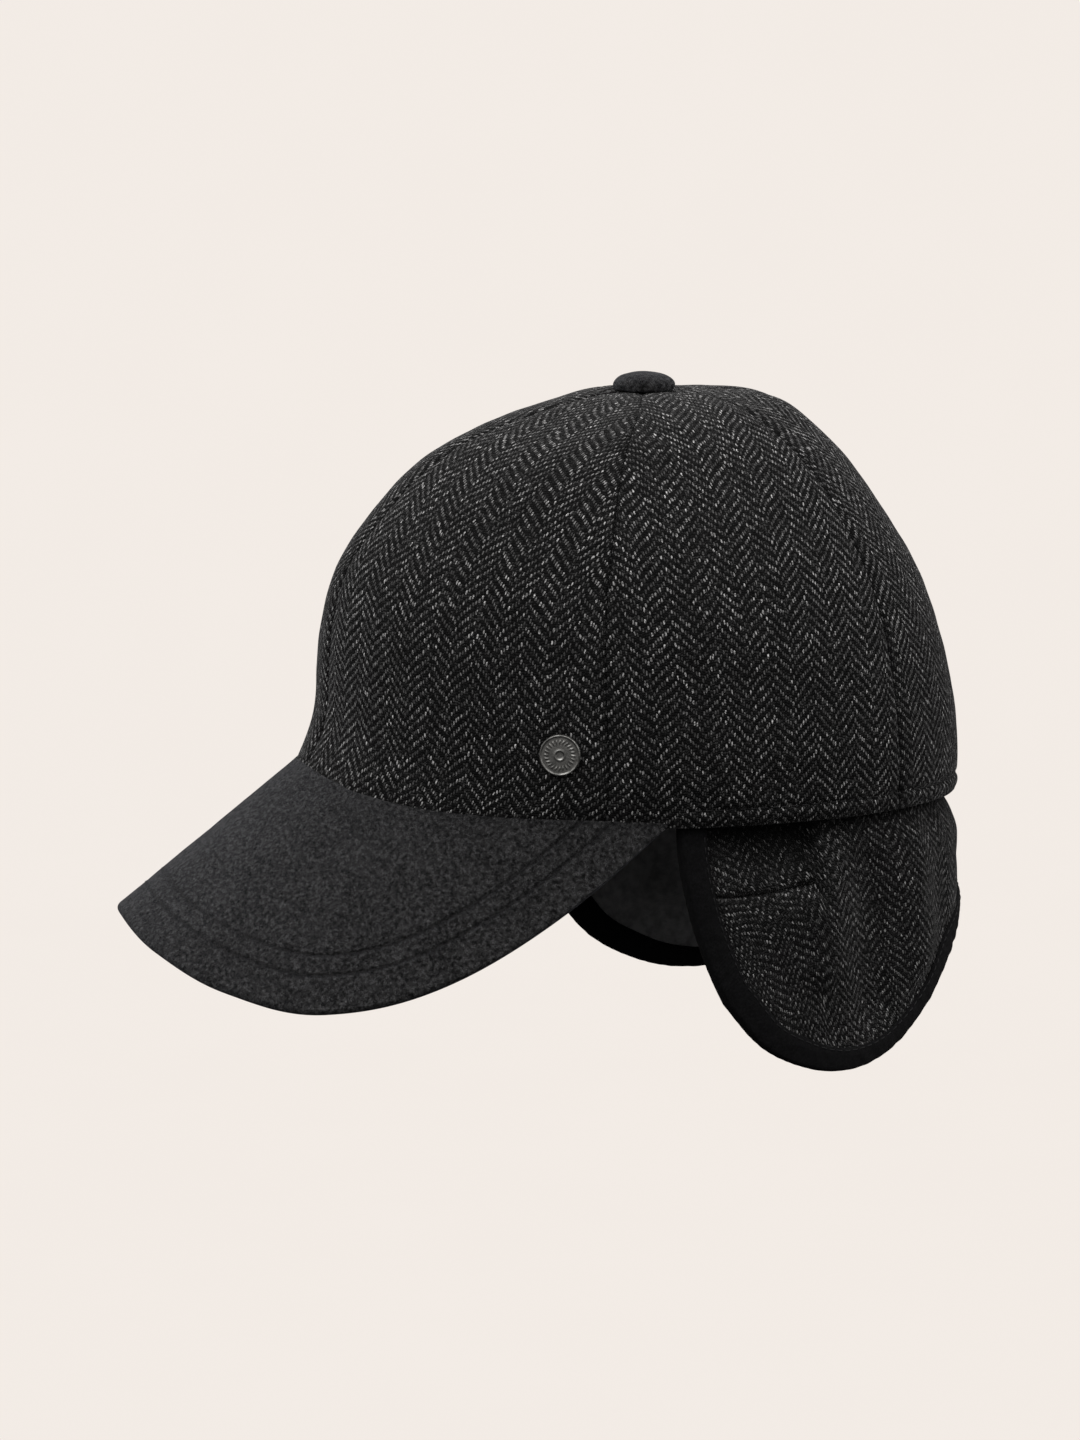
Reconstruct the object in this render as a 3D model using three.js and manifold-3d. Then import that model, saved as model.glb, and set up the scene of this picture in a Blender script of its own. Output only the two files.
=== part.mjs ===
// A six panel cap of herringbone cloth with an arched peak, a covered top button
// and one flap that runs from ear to ear round the nape, bound with tape.
// Millimetres. X points to the wearer's left, Y to the back and Z up.
// The origin is the centre of the head opening, level with the rim at the ears.
import * as THREE from 'three';
import { mergeVertices } from 'three/addons/utils/BufferGeometryUtils.js';
import Module from 'manifold-3d';

const wasm = await Module();
wasm.setup();

// Crown and head opening
const HEAD_LENGTH = 204;
const HEAD_WIDTH = 162;
const CROWN_HEIGHT = 120.4;
const CROWN_WALL = 2.4;
const APEX_SETBACK = 3;
const EYE_DIMPLE = 1.6;
const RIM_RISE = 8.8;
const EYE_RADIUS = 3.2;
const SEAM_GAP = 0.3;
const SEAM_VALLEY = 1.1;
const SEAM_SHARPNESS = 6;
const SEAM_FADE_DEGREES = 30;
const DIMPLE_DEGREES = 13;
const HEM_WIDTH = 4.4;
const HEM_GROOVE = 0.6;
const HEM_FADE_DEGREES = 6;

// Peak
const PEAK_TURN_DEGREES = 81;
const PEAK_LENGTH = 74.4;
const PEAK_THICKNESS = 4.2;
const PEAK_SEAM_THICKNESS = 3;
const PEAK_SWELL_LENGTH = 17;
const PEAK_SEAT = 4.6;
const PEAK_CLEARANCE = 0.3;

// Ear and nape flap
const EAR_DROP = 77;
const FLAP_THICKNESS = 2.8;
const FLAP_TUCK = 12;
const FLAP_CLEARANCE = 0.6;
const FLAP_LEAN = 4.5;
const FLAP_LEAN_SHARE = 0.42;
const FOLD_DEPTH = 3.4;
const FOLD_FADE_SHARE = 0.15;
const FOLD_FREE_SHARE = 0.1;
const DART_DEPTH = 1.6;

// Binding tape round the free edge of the flap
const BINDING_WIDTH = 7;
const BINDING_TAPE = 1;
const BINDING_CLEARANCE = 0.3;
const BINDING_RIM_GAP = 1.5;

// Top button, a covered dome on a shank
const BUTTON_RADIUS = 9.3;
const BUTTON_HEIGHT = 5.6;
const BUTTON_FOOT_RADIUS = 8.7;
const BUTTON_WAIST = 1.2;
const BUTTON_CLEARANCE = 0.3;
const BUTTON_SHANK_RADIUS = 2.6;

// Side rivet, a plain disc with raised rings
const RIVET_RADIUS = 6;
const RIVET_HEIGHT = 1.5;
const RIVET_CLEARANCE = 0.3;
const RIVET_POST_RADIUS = 1.4;
const RIVET_TURN_DEGREES = 60.5;
const RIVET_LEVEL = 22;

// Washers inside the crown that hold the button's shank and the rivet's post
const WASHER_OVERHANG = 2.4;
const WASHER_THICKNESS = 0.9;

// Shape of the crown. rise is the angle up the dome, 0 at the rim and 90 at the top.
// front and back are shares of half the head length, side of half the head width.
const CROWN_SECTIONS = [
  { rise: 0, front: 1.03, side: 0.99, back: 0.985 },
  { rise: 3.5, front: 1.0, side: 1.02, back: 0.99 },
  { rise: 8, front: 0.975, side: 1.04, back: 0.995 },
  { rise: 16, front: 0.995, side: 1.06, back: 0.995 },
  { rise: 25, front: 1.04, side: 1.09, back: 0.995 },
  { rise: 34, front: 1.085, side: 1.12, back: 0.995 },
  { rise: 44, front: 1.095, side: 1.145, back: 1.0 },
  { rise: 54, front: 1.12, side: 1.17, back: 1.055 },
  { rise: 64, front: 1.085, side: 1.19, back: 1.17 },
  { rise: 74, front: 0.86, side: 1.22, back: 1.46 },
  { rise: 82, front: 0.76, side: 1.26, back: 1.8 },
  { rise: 90, front: 0.74, side: 1.28, back: 1.9 },
];

// Level of the rim round the head, as shares of RIM_RISE. turn is degrees from the front.
const RIM_SECTIONS = [
  { turn: 0, level: 1 },
  { turn: 15, level: 0.76 },
  { turn: 30, level: 0.4 },
  { turn: 50, level: 0.18 },
  { turn: 81, level: 0.18 },
  { turn: 115, level: 0.02 },
  { turn: 150, level: -0.25 },
  { turn: 180, level: -0.6 },
];

// Panels from the front seam round the wearer's left side, mirrored for the right.
const PANELS = [
  { name: 'front', from: 'front', to: 'temple' },
  { name: 'side', from: 'temple', to: 'nape' },
  { name: 'back', from: 'nape', to: 'back' },
];

// Seams of the left half. turn is where a seam meets the rim and bow how far it
// wanders half way up, both in degrees.
const SEAMS = {
  front: { turn: 0, bow: 0 },
  temple: { turn: 70, bow: -3 },
  nape: { turn: 127, bow: 0 },
  back: { turn: 180, bow: 0 },
};

// Shape of the peak from its middle (0) to its corner (1). reach is a share of PEAK_LENGTH,
// dip is how far it slopes down and fan how far it turns outward, both in degrees,
// and seat is a share of PEAK_SEAT.
const PEAK_SECTIONS = [
  { share: 0, reach: 1, dip: 36.5, fan: 0, seat: 1 },
  { share: 0.2, reach: 1.023, dip: 38, fan: 4.7, seat: 1 },
  { share: 0.4, reach: 1.041, dip: 41.5, fan: 9.5, seat: 1 },
  { share: 0.6, reach: 1.022, dip: 44.5, fan: 14, seat: 1 },
  { share: 0.8, reach: 0.807, dip: 45.5, fan: 18.5, seat: 0.9 },
  { share: 0.92, reach: 0.456, dip: 45.5, fan: 22, seat: 0.7 },
  { share: 1, reach: 0.057, dip: 46, fan: 25, seat: 0.5 },
];

// Rows across the peak from the crown (0) to the edge (1), with the share of its
// thickness that is left where the edge rounds off.
const PEAK_ROWS = [
  { across: 0, body: 1 },
  { across: 0.1, body: 1 },
  { across: 0.3, body: 1 },
  { across: 0.52, body: 1 },
  { across: 0.74, body: 1 },
  { across: 0.9, body: 1 },
  { across: 0.975, body: 0.86 },
  { across: 1, body: 0.45 },
];

// Shape of the flap from the nape (0) to its front edge (1). rimTurn and edgeTurn are
// where a section meets the rim and the free edge, drop is a share of EAR_DROP and
// lean, outward at the free edge, a share of FLAP_LEAN.
const FLAP_SECTIONS = [
  { along: 0, rimTurn: 180, edgeTurn: 180, drop: 0.42, lean: 0.9 },
  { along: 0.15, rimTurn: 166, edgeTurn: 165, drop: 0.48, lean: 0.9 },
  { along: 0.3, rimTurn: 152, edgeTurn: 151, drop: 0.61, lean: 0.8 },
  { along: 0.45, rimTurn: 139, edgeTurn: 138, drop: 0.8, lean: 0.55 },
  { along: 0.6, rimTurn: 125, edgeTurn: 125, drop: 0.955, lean: 0.4 },
  { along: 0.72, rimTurn: 113, edgeTurn: 115, drop: 1, lean: 0.4 },
  { along: 0.84, rimTurn: 101, edgeTurn: 105.3, drop: 0.965, lean: 0.3 },
  { along: 0.93, rimTurn: 91, edgeTurn: 97.2, drop: 0.865, lean: 0.3 },
  { along: 1, rimTurn: 83, edgeTurn: 91, drop: 0.7, lean: 0.4 },
];

// Soft folds in the flap. turn is where a fold starts at the rim and swing how far it
// drifts down to the edge, width is in degrees, depth a share of FOLD_DEPTH, outward
// positive, and from and to are shares of the drop.
const FLAP_FOLDS = [
  { turn: 108, swing: 3, width: 4.5, depth: 0.8, from: 0.05, to: 0.75 },
  { turn: 97, swing: 1, width: 8, depth: -0.7, from: 0.05, to: 0.32 },
  { turn: 119, swing: 4, width: 5, depth: -0.8, from: 0.1, to: 0.95 },
  { turn: 131, swing: 6, width: 6, depth: 0.7, from: 0.0, to: 0.9 },
  { turn: 145, swing: 3, width: 6, depth: -0.4, from: 0.25, to: 1.0 },
];

// The dart in each ear, a sewn crease from the front edge to its tip.
const DART = { tipTurn: 107, tipFade: 6, tipDrop: 0.27, frontTurn: 86, frontDrop: 0.37, width: 0.05 };

// Rings of the rivet's face from its edge to its middle, as shares of its radius and height.
const RIVET_RINGS = [
  { radius: 1, height: 0 },
  { radius: 1, height: 0.5 },
  { radius: 0.93, height: 1 },
  { radius: 0.84, height: 1 },
  { radius: 0.78, height: 0.67 },
  { radius: 0.46, height: 0.67 },
  { radius: 0.4, height: 0.8 },
  { radius: 0, height: 0.83 },
];

// How finely the pieces are divided
const PANEL_COLUMNS = 10;
const PANEL_RISES = [8, 15, 23, 31, 40, 49, 58, 67, 76, 83];
const PANEL_HEM_ROWS = [0, 0.5, 1, 1.5];
const PEAK_COLUMNS = 32;
const FLAP_COLUMNS = 48;
const FLAP_ROWS = [-1, -0.5, 0, 0.1, 0.2, 0.3, 0.42, 0.54, 0.66, 0.78, 0.9, 1];
const ROUND_SIDES = 24;
const POST_SIDES = 12;
const BUTTON_DOME_ANGLES = [0, 25, 50, 72];

// Size of the room cut out of the peak behind the crown's face. step is in degrees.
const PEAK_ROOM = { step: 6, height: 18, depth: 17 };

// Steps over which a surface's direction is measured, in degrees and as a share.
const ANGLE_STEP = 0.5;
const SHARE_STEP = 0.02;

const degrees = THREE.MathUtils.degToRad;

// A smooth curve through one named column of a table. A level curve starts out
// level, so that its mirrored halves meet without a crease.
function column(rows, at, name, level = false) {
  const places = rows.map((row) => row[at]);
  const values = rows.map((row) => row[name]);
  const curve = new THREE.CubicInterpolant(places, values, 1);
  const ending = level ? THREE.ZeroSlopeEnding : THREE.ZeroCurvatureEnding;
  curve.settings = { endingStart: ending, endingEnd: THREE.ZeroCurvatureEnding };
  return (place) => curve.evaluate(place)[0];
}

function smoothStep(value) {
  return THREE.MathUtils.smoothstep(value, 0, 1);
}

function bump(distance, width) {
  return Math.exp(-((distance / width) ** 2));
}

// A turn as degrees from the front, the same on both sides.
function foldedTurn(turn) {
  const wrapped = Math.abs(turn) % 360;
  return Math.min(wrapped, 360 - wrapped);
}

const frontShare = column(CROWN_SECTIONS, 'rise', 'front');
const sideShare = column(CROWN_SECTIONS, 'rise', 'side');
const backShare = column(CROWN_SECTIONS, 'rise', 'back');
const rimLevel = column(RIM_SECTIONS, 'turn', 'level', true);

function rimHeight(turn) {
  return RIM_RISE * rimLevel(foldedTurn(turn));
}

// The smooth dome that the panels follow.
function domePoint(turn, rise) {
  const angle = degrees(turn);
  const climb = Math.sin(degrees(rise));
  const run = Math.cos(degrees(rise));
  const forward = 0.5 + 0.5 * Math.cos(angle);
  const long = frontShare(rise) * forward + backShare(rise) * (1 - forward);
  const rim = rimHeight(turn);
  return new THREE.Vector3(
    (HEAD_WIDTH / 2) * sideShare(rise) * run * Math.sin(angle),
    APEX_SETBACK * smoothStep(climb) - (HEAD_LENGTH / 2) * long * run * Math.cos(angle),
    rim + (CROWN_HEIGHT - rim) * climb - EYE_DIMPLE * smoothStep(1 - (90 - rise) / DIMPLE_DEGREES),
  );
}

// Outward direction of any surface given as a function of two values.
function outwardNormal(surface, u, v, stepU, stepV) {
  const alongU = surface(u + stepU, v).sub(surface(u - stepU, v));
  const alongV = surface(u, v + stepV).sub(surface(u, v - stepV));
  return alongU.cross(alongV).normalize();
}

function domeNormal(turn, rise) {
  return outwardNormal(domePoint, turn, Math.min(rise, 90 - 2 * ANGLE_STEP), ANGLE_STEP, ANGLE_STEP);
}

function riseAt(turn, heightAboveRim) {
  const share = heightAboveRim / (CROWN_HEIGHT - rimHeight(turn));
  return THREE.MathUtils.radToDeg(Math.asin(share));
}

// Length of one degree of turn on the dome.
function degreeLength(turn, rise) {
  return domePoint(turn + 0.5, rise).distanceTo(domePoint(turn - 0.5, rise));
}

// The crown's outer face: the dome, sunk a little along the seams and above the hem.
function clothPoint(turn, rise, seamShare) {
  const height = domePoint(turn, rise).z - rimHeight(turn);
  const behindPeak = smoothStep((foldedTurn(turn) - PEAK_TURN_DEGREES) / HEM_FADE_DEGREES);
  const seamFade = smoothStep((90 - rise) / SEAM_FADE_DEGREES) * smoothStep(height / (2 * HEM_WIDTH));
  const seam = SEAM_VALLEY * seamShare ** SEAM_SHARPNESS * seamFade;
  const hem = HEM_GROOVE * bump(height - HEM_WIDTH, HEM_WIDTH / 4) * behindPeak;
  return domePoint(turn, rise).addScaledVector(domeNormal(turn, rise), -(seam + hem));
}

function liningPoint(turn, rise) {
  return domePoint(turn, rise).addScaledVector(domeNormal(turn, rise), -CROWN_WALL);
}

// A closed wall between two grids of points. Seen from outside, the first grid's columns
// run to the right and its rows run up. A grid whose rows run down is given second.
function wallBetween(outside, inside) {
  const columns = outside.length - 1;
  const rows = outside[0].length - 1;
  const layer = (columns + 1) * (rows + 1);
  const positions = [];
  for (const grid of [outside, inside]) {
    for (const line of grid) {
      for (const point of line) {
        positions.push(point.x, point.y, point.z);
      }
    }
  }
  const at = (side, i, j) => side * layer + i * (rows + 1) + j;
  const index = [];
  const quad = (a, b, c, d) => index.push(a, b, c, a, c, d);
  for (let i = 0; i < columns; i += 1) {
    for (let j = 0; j < rows; j += 1) {
      quad(at(0, i, j), at(0, i + 1, j), at(0, i + 1, j + 1), at(0, i, j + 1));
      quad(at(1, i, j), at(1, i, j + 1), at(1, i + 1, j + 1), at(1, i + 1, j));
    }
    quad(at(1, i, 0), at(1, i + 1, 0), at(0, i + 1, 0), at(0, i, 0));
    quad(at(0, i, rows), at(0, i + 1, rows), at(1, i + 1, rows), at(1, i, rows));
  }
  for (let j = 0; j < rows; j += 1) {
    quad(at(0, 0, j), at(0, 0, j + 1), at(1, 0, j + 1), at(1, 0, j));
    quad(at(1, columns, j), at(1, columns, j + 1), at(0, columns, j + 1), at(0, columns, j));
  }
  const geometry = new THREE.BufferGeometry();
  geometry.setAttribute('position', new THREE.Float32BufferAttribute(positions, 3));
  geometry.setIndex(index);
  return geometry;
}

function toManifold(geometry) {
  const bare = geometry.clone();
  bare.deleteAttribute('normal');
  bare.deleteAttribute('uv');
  const merged = mergeVertices(bare, 1e-4);
  const vertProperties = new Float32Array(merged.attributes.position.array);
  const triVerts = new Uint32Array(merged.index.array);
  return new wasm.Manifold(new wasm.Mesh({ numProp: 3, vertProperties, triVerts }));
}

function fromManifold(solid) {
  const mesh = solid.getMesh();
  const geometry = new THREE.BufferGeometry();
  geometry.setAttribute('position', new THREE.Float32BufferAttribute(mesh.vertProperties, 3));
  geometry.setIndex(Array.from(mesh.triVerts));
  return geometry;
}

// How far up the dome a circle of some radius round its top lies.
function riseAtRadius(turn, radius) {
  const nearTop = domePoint(turn, 89.9);
  const run = Math.hypot(nearTop.x, nearTop.y - APEX_SETBACK) / Math.cos(degrees(89.9));
  return THREE.MathUtils.radToDeg(Math.acos(radius / run));
}

function seamTurn(seam, rise) {
  return seam.turn + seam.bow * Math.sin(degrees(2 * rise));
}

// One crown panel, a gore between two seams, open at the eye under the button.
// side is 1 for the wearer's left and -1 for the right.
function panelGeometry(from, to, side) {
  const outside = [];
  const inside = [];
  for (let i = 0; i <= PANEL_COLUMNS; i += 1) {
    const share = side > 0 ? i / PANEL_COLUMNS : 1 - i / PANEL_COLUMNS;
    const seamShare = Math.abs(2 * share - 1);
    const turnAt = (rise) => {
      const first = seamTurn(from, rise);
      const last = seamTurn(to, rise);
      const firstInset = SEAM_GAP / 2 / degreeLength(first, rise);
      const lastInset = SEAM_GAP / 2 / degreeLength(last, rise);
      return side * THREE.MathUtils.lerp(first + firstInset, last - lastInset, share);
    };
    const hemRises = PANEL_HEM_ROWS.map((row) => riseAt(turnAt(0), row * HEM_WIDTH));
    const rises = [...hemRises, ...PANEL_RISES, riseAtRadius(turnAt(89), EYE_RADIUS)];
    outside.push(rises.map((rise) => clothPoint(turnAt(rise), rise, seamShare)));
    inside.push(rises.map((rise) => liningPoint(turnAt(rise), rise)));
  }
  return wallBetween(outside, inside);
}

const peakReach = column(PEAK_SECTIONS, 'share', 'reach', true);
const peakDip = column(PEAK_SECTIONS, 'share', 'dip', true);
const peakFan = column(PEAK_SECTIONS, 'share', 'fan');
const peakSeat = column(PEAK_SECTIONS, 'share', 'seat', true);

// A point out from or into the crown's outer face, at a height above the rim.
function besideCrown(turn, height, outward) {
  const rise = riseAt(turn, Math.max(height, 0));
  const point = domePoint(turn, rise).addScaledVector(domeNormal(turn, rise), outward);
  point.z += Math.min(height, 0);
  return point;
}

function peakTop(turn, across) {
  const share = Math.min(Math.abs(turn) / PEAK_TURN_DEGREES, 1);
  const dip = degrees(peakDip(share));
  const fan = degrees(peakFan(share)) * Math.sign(turn);
  const away = new THREE.Vector3(
    Math.cos(dip) * Math.sin(fan),
    -Math.cos(dip) * Math.cos(fan),
    -Math.sin(dip),
  );
  const root = besideCrown(turn, PEAK_SEAT * peakSeat(share), -CROWN_WALL / 2);
  return root.addScaledVector(away, across * PEAK_LENGTH * peakReach(share));
}

// The room that the crown's front takes up, with a clearance round its wall.
function crownRoom() {
  const reach = PEAK_TURN_DEGREES + 2 * PEAK_ROOM.step;
  const outside = [];
  const inside = [];
  for (let turn = -reach; turn <= reach; turn += PEAK_ROOM.step) {
    const heights = [-PEAK_CLEARANCE, 0, PEAK_SEAT, PEAK_ROOM.height];
    outside.push(heights.map((height) => besideCrown(turn, height, PEAK_CLEARANCE)));
    inside.push(heights.map((height) => besideCrown(turn, height, -PEAK_ROOM.depth)));
  }
  return wallBetween(outside, inside);
}

// The arched peak. It butts on the crown's outer face just above the rim, and its
// corners pass under the rim.
function peakGeometry() {
  const top = [];
  const underside = [];
  for (let i = 0; i <= PEAK_COLUMNS; i += 1) {
    const turn = THREE.MathUtils.lerp(-PEAK_TURN_DEGREES, PEAK_TURN_DEGREES, i / PEAK_COLUMNS);
    const share = Math.abs(turn) / PEAK_TURN_DEGREES;
    const topLine = [];
    const lowLine = [];
    for (const row of PEAK_ROWS) {
      const across = Math.max(row.across, 2 * SHARE_STEP);
      const down = outwardNormal(peakTop, turn, across, ANGLE_STEP, SHARE_STEP);
      const distance = row.across * PEAK_LENGTH * peakReach(share);
      const swell = smoothStep(distance / PEAK_SWELL_LENGTH);
      const body = THREE.MathUtils.lerp(PEAK_SEAM_THICKNESS, PEAK_THICKNESS, swell);
      const rounded = (body * (1 - row.body)) / 2;
      topLine.push(peakTop(turn, row.across).addScaledVector(down, rounded));
      lowLine.push(peakTop(turn, row.across).addScaledVector(down, body - rounded));
    }
    top.push(topLine);
    underside.push(lowLine);
  }
  const body = toManifold(wallBetween(underside, top));
  return fromManifold(body.subtract(toManifold(crownRoom())));
}

const flapRimTurn = column(FLAP_SECTIONS, 'along', 'rimTurn');
const flapEdgeTurn = column(FLAP_SECTIONS, 'along', 'edgeTurn');
const flapDrop = column(FLAP_SECTIONS, 'along', 'drop', true);
const flapLean = column(FLAP_SECTIONS, 'along', 'lean', true);

// How far the folds and the dart move the flap outward. They die out at the front edge.
function flapRelief(along, turn, down) {
  const edgeFade = smoothStep((1 - along - FOLD_FREE_SHARE / 2) / (FOLD_FREE_SHARE / 2));
  let relief = 0;
  for (const fold of FLAP_FOLDS) {
    const middle = fold.turn + fold.swing * down;
    const start = smoothStep((down - fold.from) / FOLD_FADE_SHARE);
    const end = smoothStep((fold.to - down) / FOLD_FADE_SHARE);
    relief += FOLD_DEPTH * fold.depth * bump(turn - middle, fold.width) * start * end;
  }
  const dartFade = smoothStep(0.5 + (DART.tipTurn - turn) / DART.tipFade);
  const dartShare = THREE.MathUtils.clamp((DART.tipTurn - turn) / (DART.tipTurn - DART.frontTurn), 0, 1);
  const dartDrop = THREE.MathUtils.lerp(DART.tipDrop, DART.frontDrop, dartShare);
  const dart = DART_DEPTH * bump(down - dartDrop, DART.width) * dartFade;
  return (relief - dart) * edgeFade;
}

// The flap's outer face. place runs from -1 at the right front edge over 0 at the nape to
// 1 at the left; down runs from 0 at the rim to 1 at the free edge, and less than 0 is
// the part tucked up inside the crown.
function flapPoint(place, down) {
  const along = Math.abs(place);
  const side = place < 0 ? -1 : 1;
  const below = Math.max(down, 0);
  const turn = THREE.MathUtils.lerp(flapRimTurn(along), flapEdgeTurn(along), below ** 2);
  const lift = Math.max(-down, 0) * FLAP_TUCK;
  const rise = riseAt(turn, lift);
  const inset = CROWN_WALL + FLAP_CLEARANCE;
  const point = domePoint(turn, rise).addScaledVector(domeNormal(turn, rise), -inset);
  const outward = new THREE.Vector3(Math.sin(degrees(turn)), -Math.cos(degrees(turn)), 0);
  const lean = FLAP_LEAN * flapLean(along) * smoothStep(below / FLAP_LEAN_SHARE);
  point.addScaledVector(outward, lean + flapRelief(along, turn, below));
  point.z -= EAR_DROP * flapDrop(along) * below;
  point.x *= side;
  return point;
}

// Outward direction of the flap. Its own columns run down, so the faces are swapped.
function flapNormal(place, down) {
  const step = SHARE_STEP / 2;
  const inner = THREE.MathUtils.clamp(place, -1 + step, 1 - step);
  const level = THREE.MathUtils.clamp(down, -1 + SHARE_STEP, 1 - SHARE_STEP);
  const normal = outwardNormal(flapPoint, inner, level, step, SHARE_STEP);
  const outward = flapPoint(place, down).setZ(0);
  return normal.dot(outward) < 0 ? normal.negate() : normal;
}

// The flap's two faces as grids, each moved away from its cloth by grow.
function flapFaces(grow) {
  const outside = [];
  const inside = [];
  for (let i = 0; i <= FLAP_COLUMNS; i += 1) {
    const place = THREE.MathUtils.lerp(1, -1, i / FLAP_COLUMNS);
    const face = (distance) =>
      FLAP_ROWS.map((down) => flapPoint(place, down).addScaledVector(flapNormal(place, down), distance));
    outside.push(face(grow));
    inside.push(face(-(FLAP_THICKNESS + grow)));
  }
  return { outside, inside };
}

// A point moved on from its neighbour by a distance.
function stretched(point, neighbour, distance) {
  return point.clone().addScaledVector(point.clone().sub(neighbour).normalize(), distance);
}

// A grid with its two end columns and its last row moved outward.
function spread(grid, distance) {
  const tall = grid.map((line) => [...line.slice(0, -1), stretched(line.at(-1), line.at(-2), distance)]);
  const first = tall[0].map((point, j) => stretched(point, tall[1][j], distance));
  const last = tall.at(-1).map((point, j) => stretched(point, tall.at(-2)[j], distance));
  return [first, ...tall.slice(1, -1), last];
}

function flapGeometry() {
  const { outside, inside } = flapFaces(0);
  return wallBetween(inside, outside);
}

// The room that the flap takes up, with a clearance all round.
function flapRoom(clearance) {
  const { outside, inside } = flapFaces(clearance);
  return wallBetween(spread(inside, clearance), spread(outside, clearance));
}

// A closed bar through rings of points, capped at both ends.
function barThrough(rings) {
  const size = rings[0].length;
  const positions = [];
  for (const ring of rings) {
    for (const point of ring) {
      positions.push(point.x, point.y, point.z);
    }
  }
  const index = [];
  for (let i = 0; i < rings.length - 1; i += 1) {
    for (let j = 0; j < size; j += 1) {
      const next = (j + 1) % size;
      const corners = [i * size + j, i * size + next, (i + 1) * size + next, (i + 1) * size + j];
      index.push(corners[0], corners[1], corners[2], corners[0], corners[2], corners[3]);
    }
  }
  const end = (rings.length - 1) * size;
  for (let j = 1; j < size - 1; j += 1) {
    index.push(0, j + 1, j);
    index.push(end, end + j, end + j + 1);
  }
  const geometry = new THREE.BufferGeometry();
  geometry.setAttribute('position', new THREE.Float32BufferAttribute(positions, 3));
  geometry.setIndex(index);
  return geometry;
}

// The tape folded round the flap's free edge, from just under the rim at one ear
// to the other: a bar along the edge with the flap's room cut out of it.
function bindingGeometry() {
  const start = BINDING_RIM_GAP / (EAR_DROP * flapDrop(1));
  const fronts = [start, ...FLAP_ROWS.filter((down) => down > 2 * start)];
  const stations = fronts.map((down) => ({ place: 1, down }));
  for (let i = 1; i < FLAP_COLUMNS; i += 1) {
    stations.push({ place: THREE.MathUtils.lerp(1, -1, i / FLAP_COLUMNS), down: 1 });
  }
  stations.push(...fronts.toReversed().map((down) => ({ place: -1, down })));

  const half = FLAP_THICKNESS / 2 + BINDING_CLEARANCE + BINDING_TAPE;
  const beyond = BINDING_CLEARANCE + BINDING_TAPE;
  const section = [
    { inward: BINDING_WIDTH, out: half },
    { inward: 0, out: half },
    { inward: -beyond, out: half / 2 },
    { inward: -beyond, out: -half / 2 },
    { inward: 0, out: -half },
    { inward: BINDING_WIDTH, out: -half },
  ];
  const normals = stations.map(({ place, down }) => flapNormal(place, down));
  const middles = stations.map(({ place, down }, i) =>
    flapPoint(place, down).addScaledVector(normals[i], -FLAP_THICKNESS / 2));
  const rings = middles.map((middle, i) => {
    const before = middles[Math.max(i - 1, 0)];
    const after = middles[Math.min(i + 1, middles.length - 1)];
    const inward = normals[i].clone().cross(after.clone().sub(before)).normalize();
    return section.map((corner) =>
      middle.clone().addScaledVector(inward, corner.inward).addScaledVector(normals[i], corner.out));
  });
  const bar = toManifold(barThrough(rings));
  return fromManifold(bar.subtract(toManifold(flapRoom(BINDING_CLEARANCE))));
}

// A round solid from a profile of [radius, height] pairs that starts and ends on its axis.
function turned(profile, sides) {
  const points = profile.map(([radius, height]) => new THREE.Vector2(radius, height));
  return new THREE.LatheGeometry(points, sides).rotateX(Math.PI / 2);
}

// The covered button: a domed head seated on the crown's top, with a shank through the
// eye and a washer inside. Height 0 is the bottom of the dimple.
function buttonGeometry() {
  const seat = (radius) => {
    const heights = [0, 90, 180].map((turn) => domePoint(turn, riseAtRadius(turn, radius)).z);
    return Math.max(...heights) - (CROWN_HEIGHT - EYE_DIMPLE) + BUTTON_CLEARANCE;
  };
  const washerTop = -CROWN_WALL - BUTTON_CLEARANCE;
  const washerRadius = EYE_RADIUS + WASHER_OVERHANG;
  const profile = [
    [0, washerTop - WASHER_THICKNESS],
    [washerRadius, washerTop - WASHER_THICKNESS],
    [washerRadius, washerTop],
    [BUTTON_SHANK_RADIUS, washerTop],
    [BUTTON_SHANK_RADIUS, seat(BUTTON_SHANK_RADIUS)],
    [BUTTON_FOOT_RADIUS, seat(BUTTON_RADIUS)],
  ];
  const waist = seat(BUTTON_RADIUS) + BUTTON_WAIST;
  for (const angle of BUTTON_DOME_ANGLES) {
    const climb = (BUTTON_HEIGHT - waist) * Math.sin(degrees(angle));
    profile.push([BUTTON_RADIUS * Math.cos(degrees(angle)), waist + climb]);
  }
  profile.push([0, BUTTON_HEIGHT]);
  return turned(profile, ROUND_SIDES);
}

// The rivet: a disc with plain rings, its post and a washer inside.
// Height 0 is on the smooth dome, and the wall's flat facets lie a little below that.
function rivetGeometry() {
  const seat = RIVET_CLEARANCE / 3;
  const washerTop = -CROWN_WALL - 2 * RIVET_CLEARANCE;
  const washerRadius = RIVET_POST_RADIUS + WASHER_OVERHANG;
  return turned([
    [0, washerTop - WASHER_THICKNESS],
    [washerRadius, washerTop - WASHER_THICKNESS],
    [washerRadius, washerTop],
    [RIVET_POST_RADIUS, washerTop],
    [RIVET_POST_RADIUS, seat],
    ...RIVET_RINGS.map((ring) => [RIVET_RADIUS * ring.radius, seat + RIVET_HEIGHT * ring.height]),
  ], ROUND_SIDES);
}

// A panel with a round hole for the rivet's post.
function pierced(geometry) {
  const radius = RIVET_POST_RADIUS + RIVET_CLEARANCE;
  const hole = new THREE.CylinderGeometry(radius, radius, 4 * CROWN_WALL, POST_SIDES);
  hole.rotateX(Math.PI / 2).applyMatrix4(rivetPlace);
  return fromManifold(toManifold(geometry).subtract(toManifold(hole)));
}

const part = new THREE.Group();

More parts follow.
